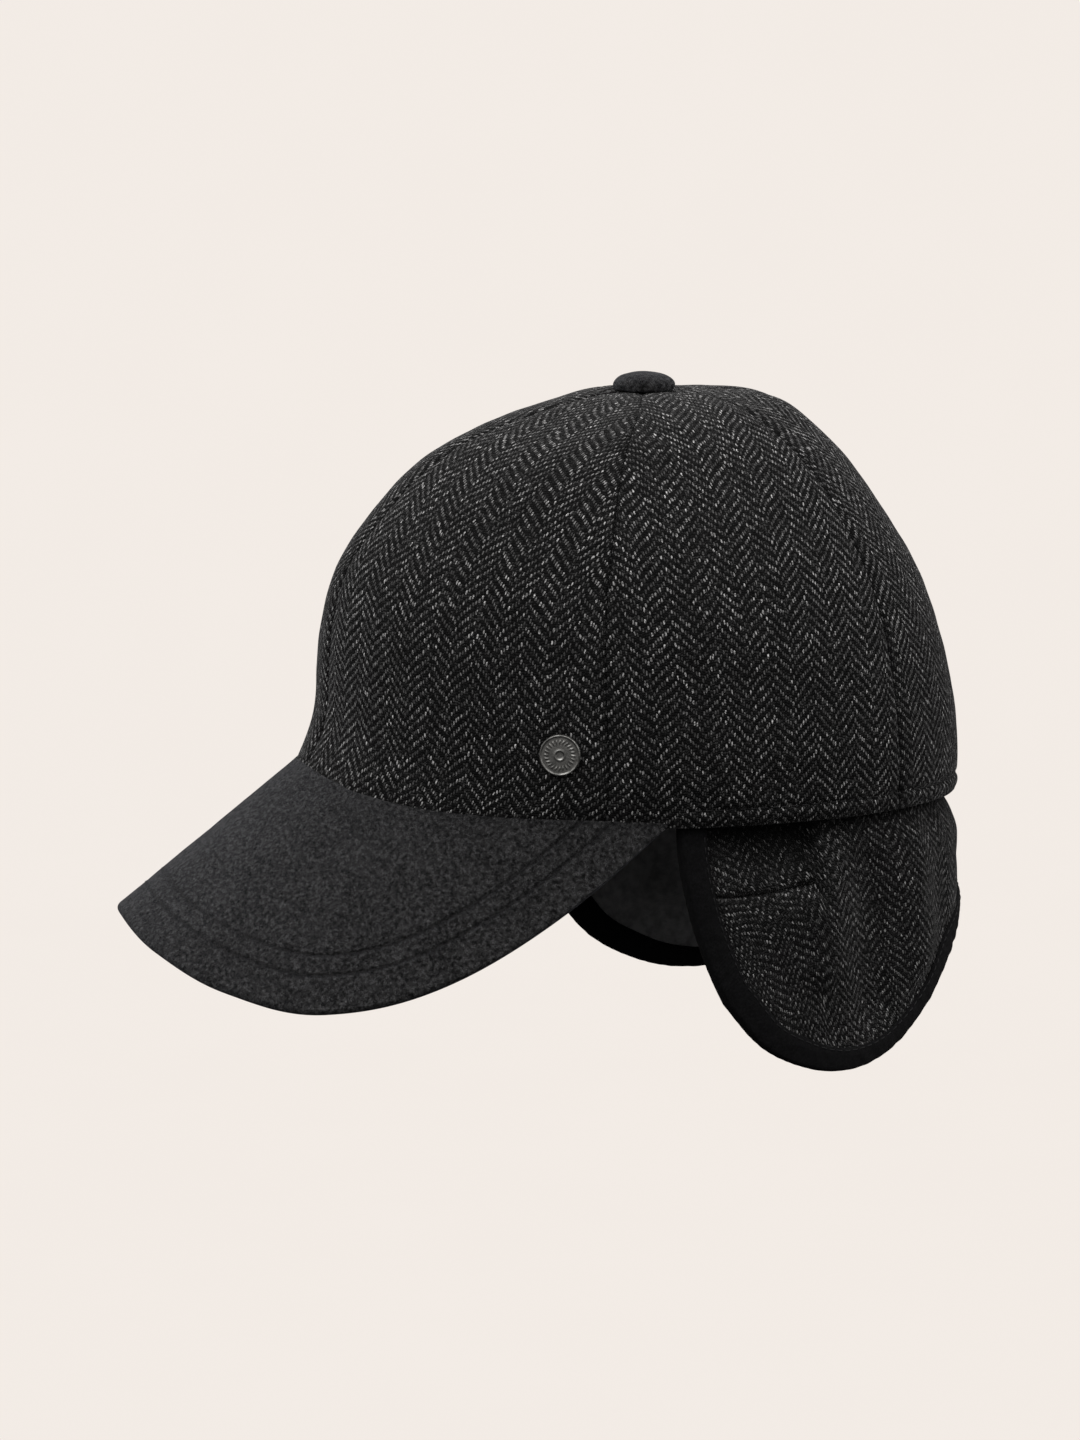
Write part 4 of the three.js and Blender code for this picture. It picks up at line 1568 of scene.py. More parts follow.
@dataclass
class Peak:
    """The arched peak: a stiff board covered in melton, with two rows of stitches."""

    form: PeakForm
    columns: int = 241
    rows: int = 60
    nose_points: int = 10
    row_insets: tuple[float, ...] = (11.6, 18.0)
    seam_clearance: float = 0.15
    tip_trim: float = 2.8
    trim_turn: float = -15.0
    trim_span: float = 13.0
    edge_thickness: float = 2.6
    edge_span: float = 12.0
    least_body: float = 1.6
    root_reach: float = 12.0
    no_row: float = 60.0
    row_margin: float = 3.0

    def _total(self, turn: Array) -> Array:
        """Length of each line, a little shorter where the far half of the tip is bent in."""
        return self.form.total(turn) - self.tip_trim * bump(turn - self.trim_turn, self.trim_span)

    def _body(self, way: Array, total: Array) -> Array:
        """Thickness down each line, less towards the turned edge."""
        near = smooth_step(1.0 - (total - way) / self.edge_span)
        return self.form.body(way) - (self.form.thickness - self.edge_thickness) * near

    def _root(self, turn: Array, body: float) -> Array:
        """How far down each line the peak comes clear of the crown, at a depth in its body.

        Args:
            turn: Degrees round from the front, towards the wearer's left.
            body: Depth below the upper face, in millimetres.

        Returns:
            The distance down each line, in millimetres.
        """
        distance = np.linspace(0.0, self.root_reach, 241)[None, :]
        lines = turn[:, None]
        places = self.form.top(lines, distance) + self.form.below(lines, distance) * body
        seat = self.form.seat * self.form.seat_share(self.form.share(turn))
        face = self.form.crown.beside(turn, seat, 0.0)
        normal = self.form.crown.normal(turn, self.form.crown.rise_at(turn, seat))
        out = ((places - face[:, None]) * normal[:, None]).sum(-1)
        under = places[..., 2] - self.form.crown.rim(turn)[:, None]
        free = (out >= self.seam_clearance) | (under <= -self.form.crown.wall * 0.45 - 0.15)
        clear = np.flip(np.logical_and.accumulate(np.flip(free, 1), 1), 1)
        first = distance[0][np.argmax(clear, axis=1)]
        padded = np.pad(first, 3, mode="edge")
        return np.convolve(padded, np.ones(7) / 7, mode="valid")

    def _edge_distance(self, places: Array) -> Array:
        """Shortest way from each place to the peak's free edge.

        Args:
            places: Places on the peak.

        Returns:
            The distance for each place, in millimetres.
        """
        turn = np.linspace(-self.form.crown.peak_turn, self.form.crown.peak_turn, 500)
        edge = self.form.top(turn, self._total(turn))
        flat = places.reshape(-1, 3)
        parts = np.array_split(flat, 24)
        nearest = [np.sqrt(((part[:, None] - edge[None]) ** 2).sum(-1).min(1)) for part in parts]
        return np.concatenate(nearest).reshape(places.shape[:-1])

    def _path(self) -> tuple[Array, Array]:
        """The peak's closed outline at each line, and how far down the line each point lies.

        Returns:
            The places, a row for each line, and the distance down the line for each of them.
        """
        crown = self.form.crown
        turn = np.linspace(-crown.peak_turn, crown.peak_turn, self.columns)
        total = self._total(turn)
        top_root = self._root(turn, 0.0)
        low_root = self._root(turn, self.form.seam_thickness)
        body_end = np.maximum(self._body(total, total), self.least_body)
        root = np.maximum(top_root, low_root)
        nose = np.minimum(body_end * 0.62, 0.4 * np.maximum(total - root, 0.2))
        straight = np.maximum(total - nose, root + 0.05)
        share = np.linspace(0.0, 1.0, self.rows)[None, :]
        share = 0.35 * share + 0.65 * np.sin(share * math.pi / 2)
        top_way = lerp(top_root[:, None], straight[:, None], share)
        low_way = lerp(low_root[:, None], straight[:, None], share)
        angle = inner_angles(self.nose_points)
        nose_way = straight[:, None] + (total - straight)[:, None] * np.sin(angle)
        lines = turn[:, None]
        top = self.form.top(lines, top_way)
        body = np.maximum(self._body(low_way, total[:, None]), self.least_body)
        low = self.form.top(lines, low_way) + self.form.below(lines, low_way) * body[..., None]
        depth = body_end[:, None] / 2 * (1.0 - np.cos(angle))
        round_end = self.form.top(lines, nose_way) + self.form.below(lines, nose_way) * depth[..., None]
        top = top - self.form.below(lines, top_way) * uneven(top, PEAK_RIPPLES)[..., None]
        path = np.concatenate([top, round_end, low[:, ::-1]], axis=1)
        return path, np.concatenate([top_way, nose_way, low_way[:, ::-1]], axis=1)

    def build(self, felt: Material) -> Piece:
        """Makes the peak in place of its CAD node.

        Args:
            felt: Its finish.

        Returns:
            The peak.
        """
        path, way = self._path()
        across = lengths_along(path, 0)
        pattern = np.stack([across - across[self.columns // 2], way], -1)
        inset = self._edge_distance(path)
        inset[:, self.rows + self.nose_points :] = self.no_row
        rows = np.stack([inset, way], -1)
        faces = wall_faces(self.columns, path.shape[1])
        piece = make_piece(
            "peak_board", path.reshape(-1, 3), faces, (felt,),
            uv=pattern.reshape(-1, 2), extra={"Rows": rows.reshape(-1, 2)},
        )
        return settle(piece, Slot.MELTON, "peak")

    def row_line(self, inset: float) -> tuple[Array, Array]:
        """The line of one row of stitches.

        Args:
            inset: How far in from the edge it runs.

        Returns:
            Its places on the peak's upper face, and the outward directions there.
        """
        reach = self.form.crown.peak_turn - self.row_margin
        turn = np.linspace(-reach, reach, 260)
        share = np.linspace(0.0, 1.0, 140)[None, :]
        way = self._total(turn)[:, None] * share
        places = self.form.top(turn[:, None], way)
        gap = self._edge_distance(places)
        best = np.argmin(np.abs(gap - inset), axis=1)
        fits = (np.abs(gap - inset).min(1) < 0.6) & (share[0][best] > 0.08)
        here = way[np.arange(len(turn)), best][fits]
        here = np.convolve(np.pad(here, 4, mode="edge"), np.ones(9) / 9, mode="valid")
        line = self.form.top(turn[fits], here)
        return line, -self.form.below(turn[fits], here)


@dataclass
class TopButton:
    """The covered button on the crown's top, with its shank and washer."""

    form: CrownForm
    radius: float = 9.3
    foot_radius: float = 8.6
    height: float = 5.6
    waist: float = 1.5
    shank: float = 2.6
    clearance: float = 0.1
    washer_radius: float = 5.6
    washer: float = 0.9
    pleat_depth: float = 0.012
    sides: int = 96

    def _seat(self, radius: float) -> float:
        """Height of the crown's top at a radius, over the bottom of its dimple.

        Args:
            radius: Distance from the button's axis.

        Returns:
            The height in millimetres.
        """
        turn = np.array([0.0, 90.0, 180.0])
        crest = self.form.point(turn, self.form.rise_at_radius(turn, radius))[:, 2].max()
        return float(crest) - self.form.height + self.form.eye_dimple

    def build(self, felt: Material, metal: Material) -> Piece:
        """Makes the button in place of its CAD node.

        Args:
            felt: Finish of the dome and the foot.
            metal: Finish of the shank and the washer.

        Returns:
            The button.
        """
        washer_top = -self.form.wall - 0.3
        seat = self._seat(self.radius) + self.clearance
        inside = [
            (0.0, washer_top - self.washer), (self.washer_radius - 0.3, washer_top - self.washer),
            (self.washer_radius, washer_top - self.washer / 2), (self.washer_radius - 0.3, washer_top),
            (self.shank, washer_top), (self.shank, self._seat(self.shank) + self.clearance),
        ]
        radii = np.linspace(self.shank + 0.4, self.foot_radius, 9)
        under = [(radius, self._seat(radius) + self.clearance) for radius in radii]
        turn_up = np.linspace(0.0, math.pi / 2, 7)[1:]
        waist = seat + self.waist
        swell = self.radius - self.foot_radius
        foot = [
            (self.foot_radius + swell * math.sin(a), waist - (waist - seat) * math.cos(a))
            for a in turn_up
        ]
        climb = np.linspace(0.0, math.pi / 2, 18)[1:]
        dome = [(self.radius * math.cos(a), waist + (self.height - waist) * math.sin(a)) for a in climb]
        profile = np.array(inside + under + foot + dome)
        profile[-1, 0] = 0.0
        points, faces, pattern = lathe(profile, self.sides)
        around = np.radians(pattern[:, 1])
        tall = points[:, 2]
        low = smooth_step((waist + 1.6 - tall) / 2.0) * smooth_step((tall - seat + 0.4) / 0.8)
        pleats = np.sin(around * 9 + 0.7) + 0.6 * np.sin(around * 14 + 2.0)
        points[:, :2] *= (1.0 + self.pleat_depth * low * pleats)[:, None]
        points[:, 2] += uneven(points, BUTTON_RIPPLES) * (tall > seat)
        points += np.array([0.0, self.form.apex_setback, self.form.height - self.form.eye_dimple])
        look = np.zeros(len(faces), int)
        look[: self.sides * (len(inside) - 1)] = 1
        piece = make_piece("button_dome", points, faces, (felt, metal), look, pattern)
        return settle(piece, Slot.MELTON, "top_button")


@dataclass
class EarFlap:
    """The flap from ear to ear, one cloth with a dart in front of each ear."""

    form: FlapForm
    columns: int = 361
    tuck_rows: int = 9
    rows: int = 66
    nose_points: int = 6
    weave_turn: float = 30.0
    crease_depth: float = 1.1
    crease_width: float = 0.5
    lip_height: float = 0.45
    lip_place: float = 1.8
    lip_width: float = 1.2
    tip_pit: float = 1.6
    pit_width: float = 2.6
    pull_height: float = 0.5
    pull_width: float = 9.0
    turn_length: float = 1.45
    tip_margin: float = 2.5
    front_span: float = 3.5
    hang_span: float = 0.12
    neck_depth: float = 0.9
    neck_level: float = 0.06
    neck_span: float = 0.09
    front_sink: float = 3.6
    hollow: float = 2.8
    hollow_level: float = 0.19
    hollow_span: float = 0.1
    hollow_width: float = 4.0
    no_shade: float = 9.0
    tuck_steps: tuple[float, ...] = (0.003, 0.007, 0.012, 0.02, 0.03)

    def __post_init__(self) -> None:
        """Sets out the rows, with some close to the dart."""
        even = np.linspace(0.0, 1.0, self.rows)
        tip = self.form.dart_tip_drop
        steps = np.array(self.tuck_steps)
        near = tip + np.concatenate([-steps[::-1], [0.0], steps])
        kept = even[np.abs(even - tip) > 0.035]
        self.levels = np.sort(np.concatenate([kept, near]))
        self.dart_row = int(np.argmin(np.abs(self.levels - tip)))

    def _down(self, place: Array) -> Array:
        """How far down each row lies, bent so that one row follows the dart.

        Args:
            place: From -1 at the right front edge to 1 at the left.

        Returns:
            The level of each row, a row for each place.
        """
        tip = self.form.dart_tip_drop
        along = np.abs(place)
        turn = lerp(self.form.rim_turn(along), self.form.edge_turn(along), 0.1)
        shift = self.form.dart_drop(turn) - tip
        upper, lower = smooth_step(self.levels / tip), 1.0 - smooth_step((self.levels - tip) / (1.0 - tip))
        return self.levels[None, :] + shift[:, None] * np.where(self.levels <= tip, upper, lower)[None, :]

    def _flat(self, outer: Array) -> Array:
        """The cloth laid flat, before the dart turns its weave: across and down in millimetres.

        Args:
            outer: The outer face's grid.

        Returns:
            The flat places.
        """
        nape = self.columns // 2
        across = lengths_along(outer, 0)
        u = across[nape] - across
        v = -lengths_along(outer, 1)
        return np.stack([u, v], -1)

    def _turned(self, flat: Array, tip: Array, front: Array, under: bool) -> Array:
        """The pattern place of each point of one half, turned round the dart's tip.

        Args:
            flat: Flat places of that half, the front edge towards positive.
            tip: Flat place of the dart's tip.
            front: Flat place of the dart's end at the front edge.
            under: True for the cloth below the dart.

        Returns:
            The pattern places.
        """
        way = flat - tip
        dart = front - tip
        start = math.atan2(dart[1], dart[0])
        angle = (np.arctan2(way[..., 1], way[..., 0]) - start) % (2 * math.pi)
        edge = math.pi / 2
        angle = np.where(under & (angle < edge), angle + 2 * math.pi, angle)
        angle = np.where((not under) & (angle > 2 * math.pi - edge), angle - 2 * math.pi, angle)
        share = smooth_step((np.degrees(angle) - 190.0) / 170.0)
        turned = angle + start + math.radians(self.weave_turn) * share
        length = np.linalg.norm(way, axis=-1)
        return tip + np.stack([np.cos(turned), np.sin(turned)], -1) * length[..., None]

    def _pattern(self, outer: Array, place: Array) -> tuple[Array, Array]:
        """Pattern places of the outer face for faces above and for faces below the dart.

        Args:
            outer: The outer face's grid.
            place: Place of each of its columns.

        Returns:
            The two grids of pattern places.
        """
        flat = self._flat(outer)
        above, below = np.empty_like(flat), np.empty_like(flat)
        half = self.columns // 2
        tuck = outer.shape[1] - len(self.levels)
        row = tuck + self.dart_row
        turn = self.form.rim_turn(np.abs(place))
        for columns, sign in ((slice(0, half + 1), 1.0), (slice(half, self.columns), -1.0)):
            part = flat[columns] * np.array([sign, 1.0])
            near = np.argmin(np.abs(turn[columns] - self.form.dart_tip_turn))
            end = 0 if sign > 0 else part.shape[0] - 1
            tip, front = part[near, row], part[end, row]
            above[columns] = self._turned(part, tip, front, False) * np.array([sign, 1.0])
            below[columns] = self._turned(part, tip, front, True) * np.array([sign, 1.0])
        return above, below

    def build(self, cloth: Material, lining: Material) -> Piece:
        """Makes the flap in place of its CAD node.

        Args:
            cloth: Finish of the outer face.
            lining: Finish of the inner face.

        Returns:
            The flap.
        """
        form = self.form
        place = np.linspace(1.0, -1.0, self.columns)
        tuck = np.linspace(-1.0, 0.0, self.tuck_rows, endpoint=False)
        tuck = np.broadcast_to(tuck, (self.columns, self.tuck_rows))
        down = np.concatenate([tuck, self._down(place)], axis=1)
        lines = place[:, None]
        base, normal = form.point(lines, down), form.normal(lines, down)
        along = np.abs(lines)
        turn = lerp(form.rim_turn(along), form.edge_turn(along), np.maximum(down, 0.0) ** 2)
        deep = (down - form.dart_drop(turn)) * form.drop * form.drop_share(along)
        ahead = smooth_step((form.dart_tip_turn - turn) / self.tip_margin)
        beside = (turn - form.dart_tip_turn) * self.turn_length
        off = np.hypot(deep, beside)
        crease = self.crease_depth * bump(deep, self.crease_width) * ahead
        lips = self.lip_height * (bump(np.abs(deep) - self.lip_place, self.lip_width)) * ahead
        pit = self.tip_pit * bump(off, self.pit_width)
        round_tip = np.arctan2(deep, beside + 1e-6)
        pull = self.pull_height * bump(off, self.pull_width) * np.cos(3.0 * round_tip)
        hang = smooth_step(down / self.hang_span)
        before = smooth_step((form.dart_tip_turn + self.tip_margin - turn) / self.front_span)
        neck = self.neck_depth + self.front_sink * before
        neck = neck * bump(down - self.neck_level, self.neck_span)
        hollow = self.hollow * bump(turn - form.dart_tip_turn + self.tip_margin, self.hollow_width)
        hollow = hollow * bump(down - self.hollow_level, self.hollow_span)
        free = smooth_step((1.0 - along) / 0.12) * smooth_step(down / 0.03)
        sunk = (neck + hollow) * free
        raised = lips - crease - pit + pull + uneven(base, FLAP_RIPPLES)
        base = base - normal * sunk[..., None]
        outer = base + normal * (raised * hang)[..., None]
        inner = base - normal * form.thickness
        middle, half = (outer[:, -1:] + inner[:, -1:]) / 2, (outer[:, -1:] - inner[:, -1:]) / 2
        beyond = unit(outer[:, -1:] - outer[:, -2:-1]) * 0.25
        angle = inner_angles(self.nose_points)
        nose = middle + half * np.cos(angle)[None, :, None] + beyond * np.sin(angle)[None, :, None]
        path = np.concatenate([outer, nose, inner[:, ::-1]], axis=1)
        above, below = self._pattern(outer, place)
        # Distances for the painted shade: from the dart's line ahead of its tip, and below the rim for the
        # painted shadow of the crown's rim, which is kept faint behind the dart's tip.
        away = np.where(turn < form.dart_tip_turn, np.abs(deep), self.no_shade)
        under = np.maximum(down, 0.0) * form.drop * form.drop_share(along)
        under = under + self.no_shade * (1.0 - before)
        away = np.stack([away, under], -1)

        def whole(pattern: Array) -> Array:
            """The pattern carried round the edge and over the inner face."""
            end = np.repeat(pattern[:, -1:], self.nose_points, axis=1)
            return np.concatenate([pattern, end, pattern[:, ::-1]], axis=1).reshape(-1, 2)

        steps, outside = path.shape[1], outer.shape[1] + self.nose_points
        faces = wall_faces(self.columns, steps)
        wall = (self.columns - 1) * (steps - 1)
        row = np.tile(np.arange(steps - 1), self.columns - 1)
        look = np.zeros(len(faces), int)
        look[:wall] = row >= outside
        under = np.zeros(len(faces), bool)
        under[:wall] = row >= self.tuck_rows + self.dart_row
        corner = np.where(under[:, None, None], whole(below)[faces], whole(above)[faces])
        piece = make_piece(
            "flap_cloth", path.reshape(-1, 3), faces, (cloth, lining), look,
            corner_uv=corner.reshape(-1, 2), extra={"Seam": whole(away)},
        )
        settle(piece, Slot.HERRINGBONE, "ear_flap")
        return piece


@dataclass
class FlapBinding:
    """The tape folded round the flap's free edge."""

    form: FlapForm
    stations: int = 620
    tape: float = 0.95
    bedding: float = 0.12
    beyond: float = 1.3
    rim_gap: float = 1.5
    leg_points: int = 9
    wrap_points: int = 7
    puff: float = 0.18
    core: float = 0.3
    smoothings: int = 12
    widths: tuple[tuple[float, float], ...] = (
        (0.0, 4.6), (0.6, 4.8), (0.74, 6.0), (0.86, 7.3), (1.0, 7.3),
    )

    def _edge(self) -> tuple[Array, Array]:
        """Place and down of even steps along the flap's free edge.

        Returns:
            The two values for each step.
        """
        first = self.rim_gap / (self.form.drop * float(self.form.drop_share(np.array(1.0))))
        fall = np.linspace(first, 1.0, 200)
        round_it = np.linspace(1.0, -1.0, 1200)[1:-1]
        place = np.concatenate([np.ones(200), round_it, -np.ones(200)])
        down = np.concatenate([fall, np.ones(len(round_it)), fall[::-1]])
        run = lengths_along(self.form.point(place, down), 0)
        even = np.linspace(0.0, run[-1], self.stations)
        return np.interp(even, run, place), np.interp(even, run, down)

    def _legs(self) -> tuple[Array, Array, Array]:
        """Cloth places and directions under the tape, from the edge inward.

        Returns:
            The places, the outward directions and the way inward at each station.
        """
        place, down = self._edge()
        edge = self.form.point(place, down)
        tangent = np.gradient(edge, axis=0)
        for _ in range(self.smoothings):
            tangent[1:-1] = (tangent[:-2] + 2 * tangent[1:-1] + tangent[2:]) / 4
        normal = self.form.normal(place, down)
        way = edge_way = unit(np.cross(normal, tangent))
        spots, lines = np.array(self.widths).T
        width = np.interp(np.abs(place), spots, lines)
        step = width / (self.leg_points - 1)
        points, normals = [edge], [normal]
        for _ in range(self.leg_points - 1):
            place, down = self.form.inward(place, down, way, step)
            points.append(self.form.point(place, down))
            normals.append(self.form.normal(place, down))
            way = unit(way - normals[-1] * (way * normals[-1]).sum(-1)[:, None])
        return np.stack(points, 1), np.stack(normals, 1), edge_way

    def build(self, tape: Material, thread: Material) -> Piece:
        """Makes the binding in place of its CAD node, and its row of stitches.

        Args:
            tape: Finish of the binding.
            thread: Finish of its stitches.

        Returns:
            The binding.
        """
        points, normals, way = self._legs()
        thick = self.form.thickness
        share = np.linspace(0.0, 1.0, self.leg_points)
        puff = self.tape * (1.0 - 0.75 * share**6) + self.puff * np.sin(share * math.pi)
        crinkle = uneven(points, TAPE_CRINKLES) * (1.0 - share**4)
        outside = points + normals * (self.bedding + puff[None, :] + crinkle)[..., None]
        inside = points - normals * (thick + self.bedding + puff[None, :] + crinkle)[..., None]
        low_out = points + normals * self.bedding
        low_in = points - normals * (thick + self.bedding)
        centre = points[:, 0] - normals[:, 0] * thick / 2
        angle = inner_angles(self.wrap_points)
        reach = thick / 2 + self.bedding

        def wrapped(half: Array, out: Array) -> Array:
            """A half round from the outer face over the edge to the inner one.

            Args:
                half: How far its two ends lie from the cloth's middle.
                out: How far it stands out beyond the cloth's edge.

            Returns:
                Its places.
            """
            over = normals[:, None, 0] * half[:, None, None] * np.cos(angle)[None, :, None]
            beyond = (out[:, None] * np.sin(angle)[None, :])[..., None]
            return centre[:, None] + over - way[:, None] * beyond

        rough = uneven(centre, TAPE_EDGE_CRINKLES)
        shell = wrapped(reach + self.tape + crinkle[:, 0], self.beyond + rough)
        core = wrapped(np.full(len(centre), reach), np.full(len(centre), self.core))
        ring = np.concatenate(
            [outside[:, ::-1], shell, inside, low_in[:, ::-1], core[:, ::-1], low_out], axis=1
        )
        rings, size = ring.shape[:2]
        u = lengths_along(ring, 1)
        v = np.broadcast_to(lengths_along(centre, 0)[:, None], u.shape)
        faces = tube_faces(rings, size)
        uv = np.stack([u, v], -1).reshape(-1, 2)
        piece = make_piece("flap_tape", ring.reshape(-1, 3), faces, (tape,), uv=uv)
        settle(piece, Slot.TAPE, "flap_binding")
        seam = self.leg_points - 2
        row = StitchRow("tape_stitches", thread, length=2.2, space=0.8, radius=0.16, sink=0.12)
        line = outside[4:-4, seam]
        stitches = row.build(line, normals[4:-4, seam], Slot.TAPE)
        return piece


@dataclass
class SideRivet:
    """A plain ringed pewter disc on the left front panel, with its post and washer."""

    form: CrownForm
    turn: float = 60.5
    level: float = 22.0
    radius: float = 6.0
    post: float = 1.4
    washer_radius: float = 3.8
    washer: float = 0.9
    rays: int = 24
    ray_height: float = 0.16
    ray_slant: float = 1.6
    ray_zone: tuple[float, float] = (3.35, 4.5)
    ray_fade: float = 0.3
    seat_height: float = 0.5
    sides: int = 240
    rings: tuple[tuple[float, float], ...] = (
        (6.0, 0.1), (6.0, 0.5), (5.98, 0.85), (5.92, 1.15), (5.8, 1.34), (5.66, 1.4), (5.52, 1.36),
        (5.42, 1.24), (5.34, 1.17), (5.1, 1.15), (4.7, 1.16), (4.45, 1.17), (4.25, 1.18), (4.0, 1.19),
        (3.75, 1.2), (3.5, 1.21), (3.3, 1.21), (2.8, 1.22), (2.2, 1.23), (1.75, 1.23), (1.6, 1.3),
        (1.45, 1.36), (1.3, 1.34), (1.18, 1.24), (1.05, 1.14), (0.8, 1.1), (0.4, 1.1), (0.0, 1.1),
    )

    def build(self, metal: Material) -> Piece:
        """Makes the rivet in place of its CAD node.

        Args:
            metal: Its finish.

        Returns:
            The rivet.
        """
        inner = -self.form.wall - 0.6
        hidden = [
            (0.0, inner - self.washer), (self.washer_radius - 0.2, inner - self.washer),
            (self.washer_radius, inner - self.washer / 2), (self.washer_radius - 0.2, inner),
            (self.post, inner), (self.post, 0.1),
        ]
        points, faces, pattern = lathe(np.array(hidden + list(self.rings)), self.sides)
        radius = np.hypot(points[:, 0], points[:, 1])
        zone = smooth_step((radius - self.ray_zone[0]) / self.ray_fade)
        zone = zone * smooth_step((self.ray_zone[1] - radius) / self.ray_fade)
        zone = zone * (points[:, 2] > self.seat_height)
        ridge = np.sin(np.radians(pattern[:, 1]) * self.rays + radius * self.ray_slant)
        points[:, 2] += self.ray_height * np.maximum(ridge, -0.2) * zone
        rise = float(self.form.rise_at(np.array(self.turn), np.array(self.level)))
        seat = self.form.point(np.array(self.turn), np.array(rise))
        axis = self.form.normal(np.array(self.turn), np.array(rise))
        turned = Vector((0, 0, 1)).rotation_difference(Vector(axis)).to_matrix()
        points = points @ np.array(turned).T + seat
        piece = make_piece("rivet_disc", points, faces, (metal,), uv=pattern, sharp=40.0)
        return settle(piece, Slot.PEWTER, "side_rivet")


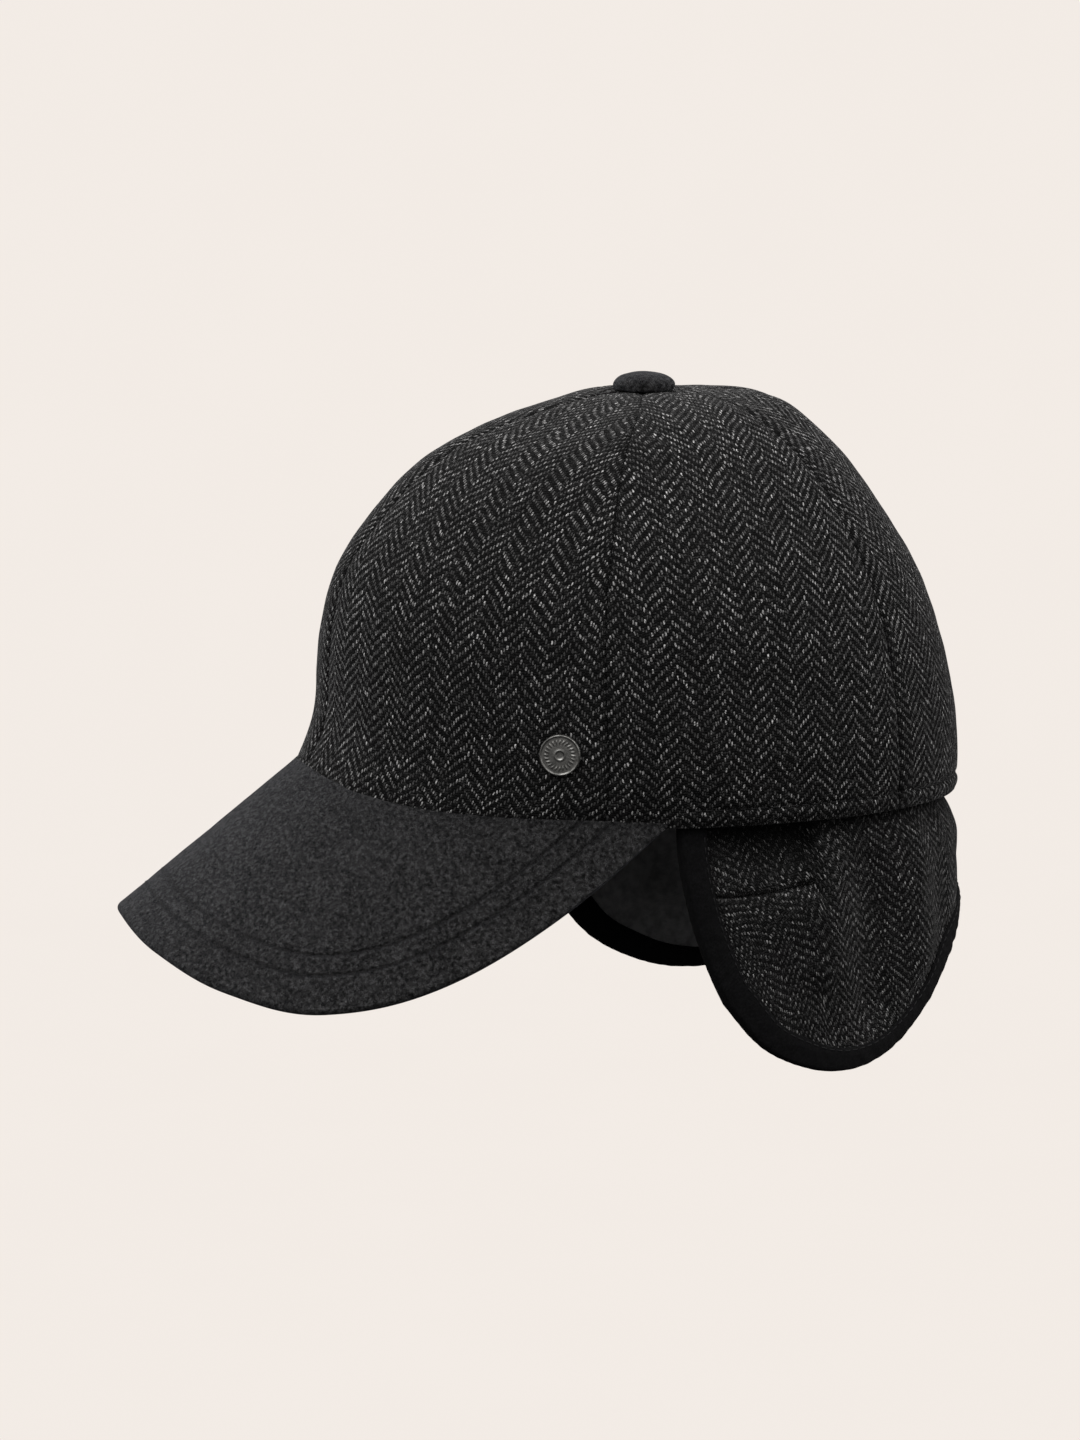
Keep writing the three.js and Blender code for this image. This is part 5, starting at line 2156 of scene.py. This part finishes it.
@dataclass
class Studio:
    """The pale floor with its backdrop, the soft lights and the camera, in metres."""

    azimuth: float = 71.5
    elevation: float = 10.5
    distance: float = 1.5
    aim: tuple[float, float, float] = (0.0, -0.030, 0.0198)
    lens: float = 124.125
    sensor: float = 36.0
    clip: tuple[float, float] = (0.05, 300.0)
    light_distance: float = 1.9
    floor_level: float = -2.5
    room: float = 12.0
    sky_low: float = 0.01
    sky_high: float = 1.2
    sky_span: tuple[float, float] = (-0.35, 0.95)
    sky_color: Color = (1.0, 0.965, 0.94, 1.0)

    def _away(self, azimuth: float, elevation: float) -> Vector:
        """Direction from the cap towards a place round it."""
        a, e = math.radians(azimuth), math.radians(elevation)
        return Vector((math.sin(a) * math.cos(e), -math.cos(a) * math.cos(e), math.sin(e)))

    def floor(self, paper: Material) -> Piece:
        """Makes the wide floor, drawn up far away into a dome, which leaves the light as it is.

        Args:
            paper: Its finish.

        Returns:
            The floor.
        """
        climb = np.linspace(0.0, math.pi / 2, 25)
        dome = [(self.room * math.cos(a), self.floor_level + self.room * math.sin(a)) for a in climb]
        points, faces, _ = lathe(np.array([(0.0, self.floor_level)] + dome) / MM, 96)
        piece = make_piece("pale_floor", points, faces[:, ::-1], (paper,))
        for ray in ("diffuse", "glossy", "transmission", "volume_scatter", "shadow"):
            setattr(piece, f"visible_{ray}", False)
        return piece

    def _softbox(self, box: SoftBox) -> None:
        """One large square light that faces the cap.

        Args:
            box: Its place, size and power.
        """
        light = bpy.data.lights.new(box.name, "AREA")
        light.shape, light.size, light.energy = "SQUARE", box.size, box.watts
        lamp = bpy.data.objects.new(box.name, light)
        way = self._away(box.azimuth, box.elevation)
        lamp.location = Vector(self.aim) + way * self.light_distance
        lamp.rotation_mode = "QUATERNION"
        lamp.rotation_quaternion = way.to_track_quat("Z", "Y")
        bpy.context.scene.collection.objects.link(lamp)

    def lights(self) -> None:
        """Sets the even sky and the soft boxes."""
        world = bpy.data.worlds.new("even_sky")
        world.use_nodes = True
        shade = world.node_tree.nodes["Background"]
        shade.inputs["Color"].default_value = self.sky_color
        nodes, links = world.node_tree.nodes, world.node_tree.links
        place, split = nodes.new("ShaderNodeTexCoord"), nodes.new("ShaderNodeSeparateXYZ")
        rise = nodes.new("ShaderNodeMapRange")
        rise.interpolation_type = "SMOOTHSTEP"
        limits = {"From Min": self.sky_span[0], "From Max": self.sky_span[1]}
        limits |= {"To Min": self.sky_low, "To Max": self.sky_high}
        for name, value in limits.items():
            rise.inputs[name].default_value = value
        links.new(place.outputs["Generated"], split.inputs[0])
        links.new(split.outputs[2], rise.inputs["Value"])
        links.new(rise.outputs["Result"], shade.inputs["Strength"])
        bpy.context.scene.world = world
        for box in SOFT_BOXES:
            self._softbox(box)
        bpy.context.scene.view_settings.view_transform = "Standard"

    def camera(self) -> Piece:
        """Makes the camera at the photograph's angle.

        Returns:
            The camera.
        """
        data = bpy.data.cameras.new("cap_camera")
        data.sensor_fit, data.sensor_width, data.lens = "AUTO", self.sensor, self.lens
        data.clip_start, data.clip_end = self.clip
        camera = bpy.data.objects.new("cap_camera", data)
        way = self._away(self.azimuth, self.elevation)
        camera.location = Vector(self.aim) + way * self.distance
        camera.rotation_mode = "QUATERNION"
        camera.rotation_quaternion = way.to_track_quat("Z", "Y")
        bpy.context.scene.collection.objects.link(camera)
        bpy.context.scene.camera = camera
        return camera


def hem_line(form: CrownForm) -> tuple[Array, Array]:
    """The topstitched line above the rim, from one end of the peak round the back to the other.

    Args:
        form: The crown that it runs on.

    Returns:
        Its places, and the outward directions there.
    """
    turn = np.linspace(form.peak_turn + HEM_MARGIN, 360.0 - form.peak_turn - HEM_MARGIN, 500)
    rise = form.rise_at(turn, np.full_like(turn, form.hem))
    normal = form.normal(turn, rise)
    return form.point(turn, rise) - normal * HEM_SINK, normal


def main() -> None:
    """Builds the studio and every piece of the cap, in order."""
    logging.basicConfig(level=logging.INFO, format="%(name)s %(message)s")
    studio = Studio()
    studio.camera()
    studio.lights()
    studio.floor(PalePaper().material())

    wool = HerringboneWool().material()
    lining = LiningCloth().material()
    thread = SewingThread().material()
    pewter = PewterMetal().material()
    crown = CrownForm()
    for side in Side:
        for name, first, last in PANELS:
            label = f"gore_{name}_{side.name.lower()}"
            CrownPanel(crown, label, SEAMS[first], SEAMS[last], side).build(wool, lining, thread)
    tape = BindingTape().material()
    for one in TAPES:
        SeamTape(crown, one.name, SEAMS[one.seam], one.side, one.start).build(tape)
    StitchRow("hem_stitches", thread).build(*hem_line(crown), Slot.HERRINGBONE)

    peak = Peak(PeakForm(crown))
    peak.build(MeltonWool(rows=peak.row_insets).material())
    for number, inset in enumerate(peak.row_insets, 1):
        row = StitchRow(f"peak_stitches_{number}", thread, radius=0.18, sink=0.25)
        row.build(*peak.row_line(inset), Slot.MELTON)
    TopButton(crown).build(MeltonWool(name="button_melton").material(), pewter)

    flap = FlapForm(crown)
    soft_wool = HerringboneWool(
        name="flap_wool", nap=0.7, wander=1.5, jitter=1.3, warp_light=(0.7, 0.7, 0.7, 1.0)
    )
    EarFlap(flap).build(soft_wool.material(), lining)
    FlapBinding(flap).build(tape, thread)
    SideRivet(crown).build(pewter)


if __name__ == "__main__":
    main()
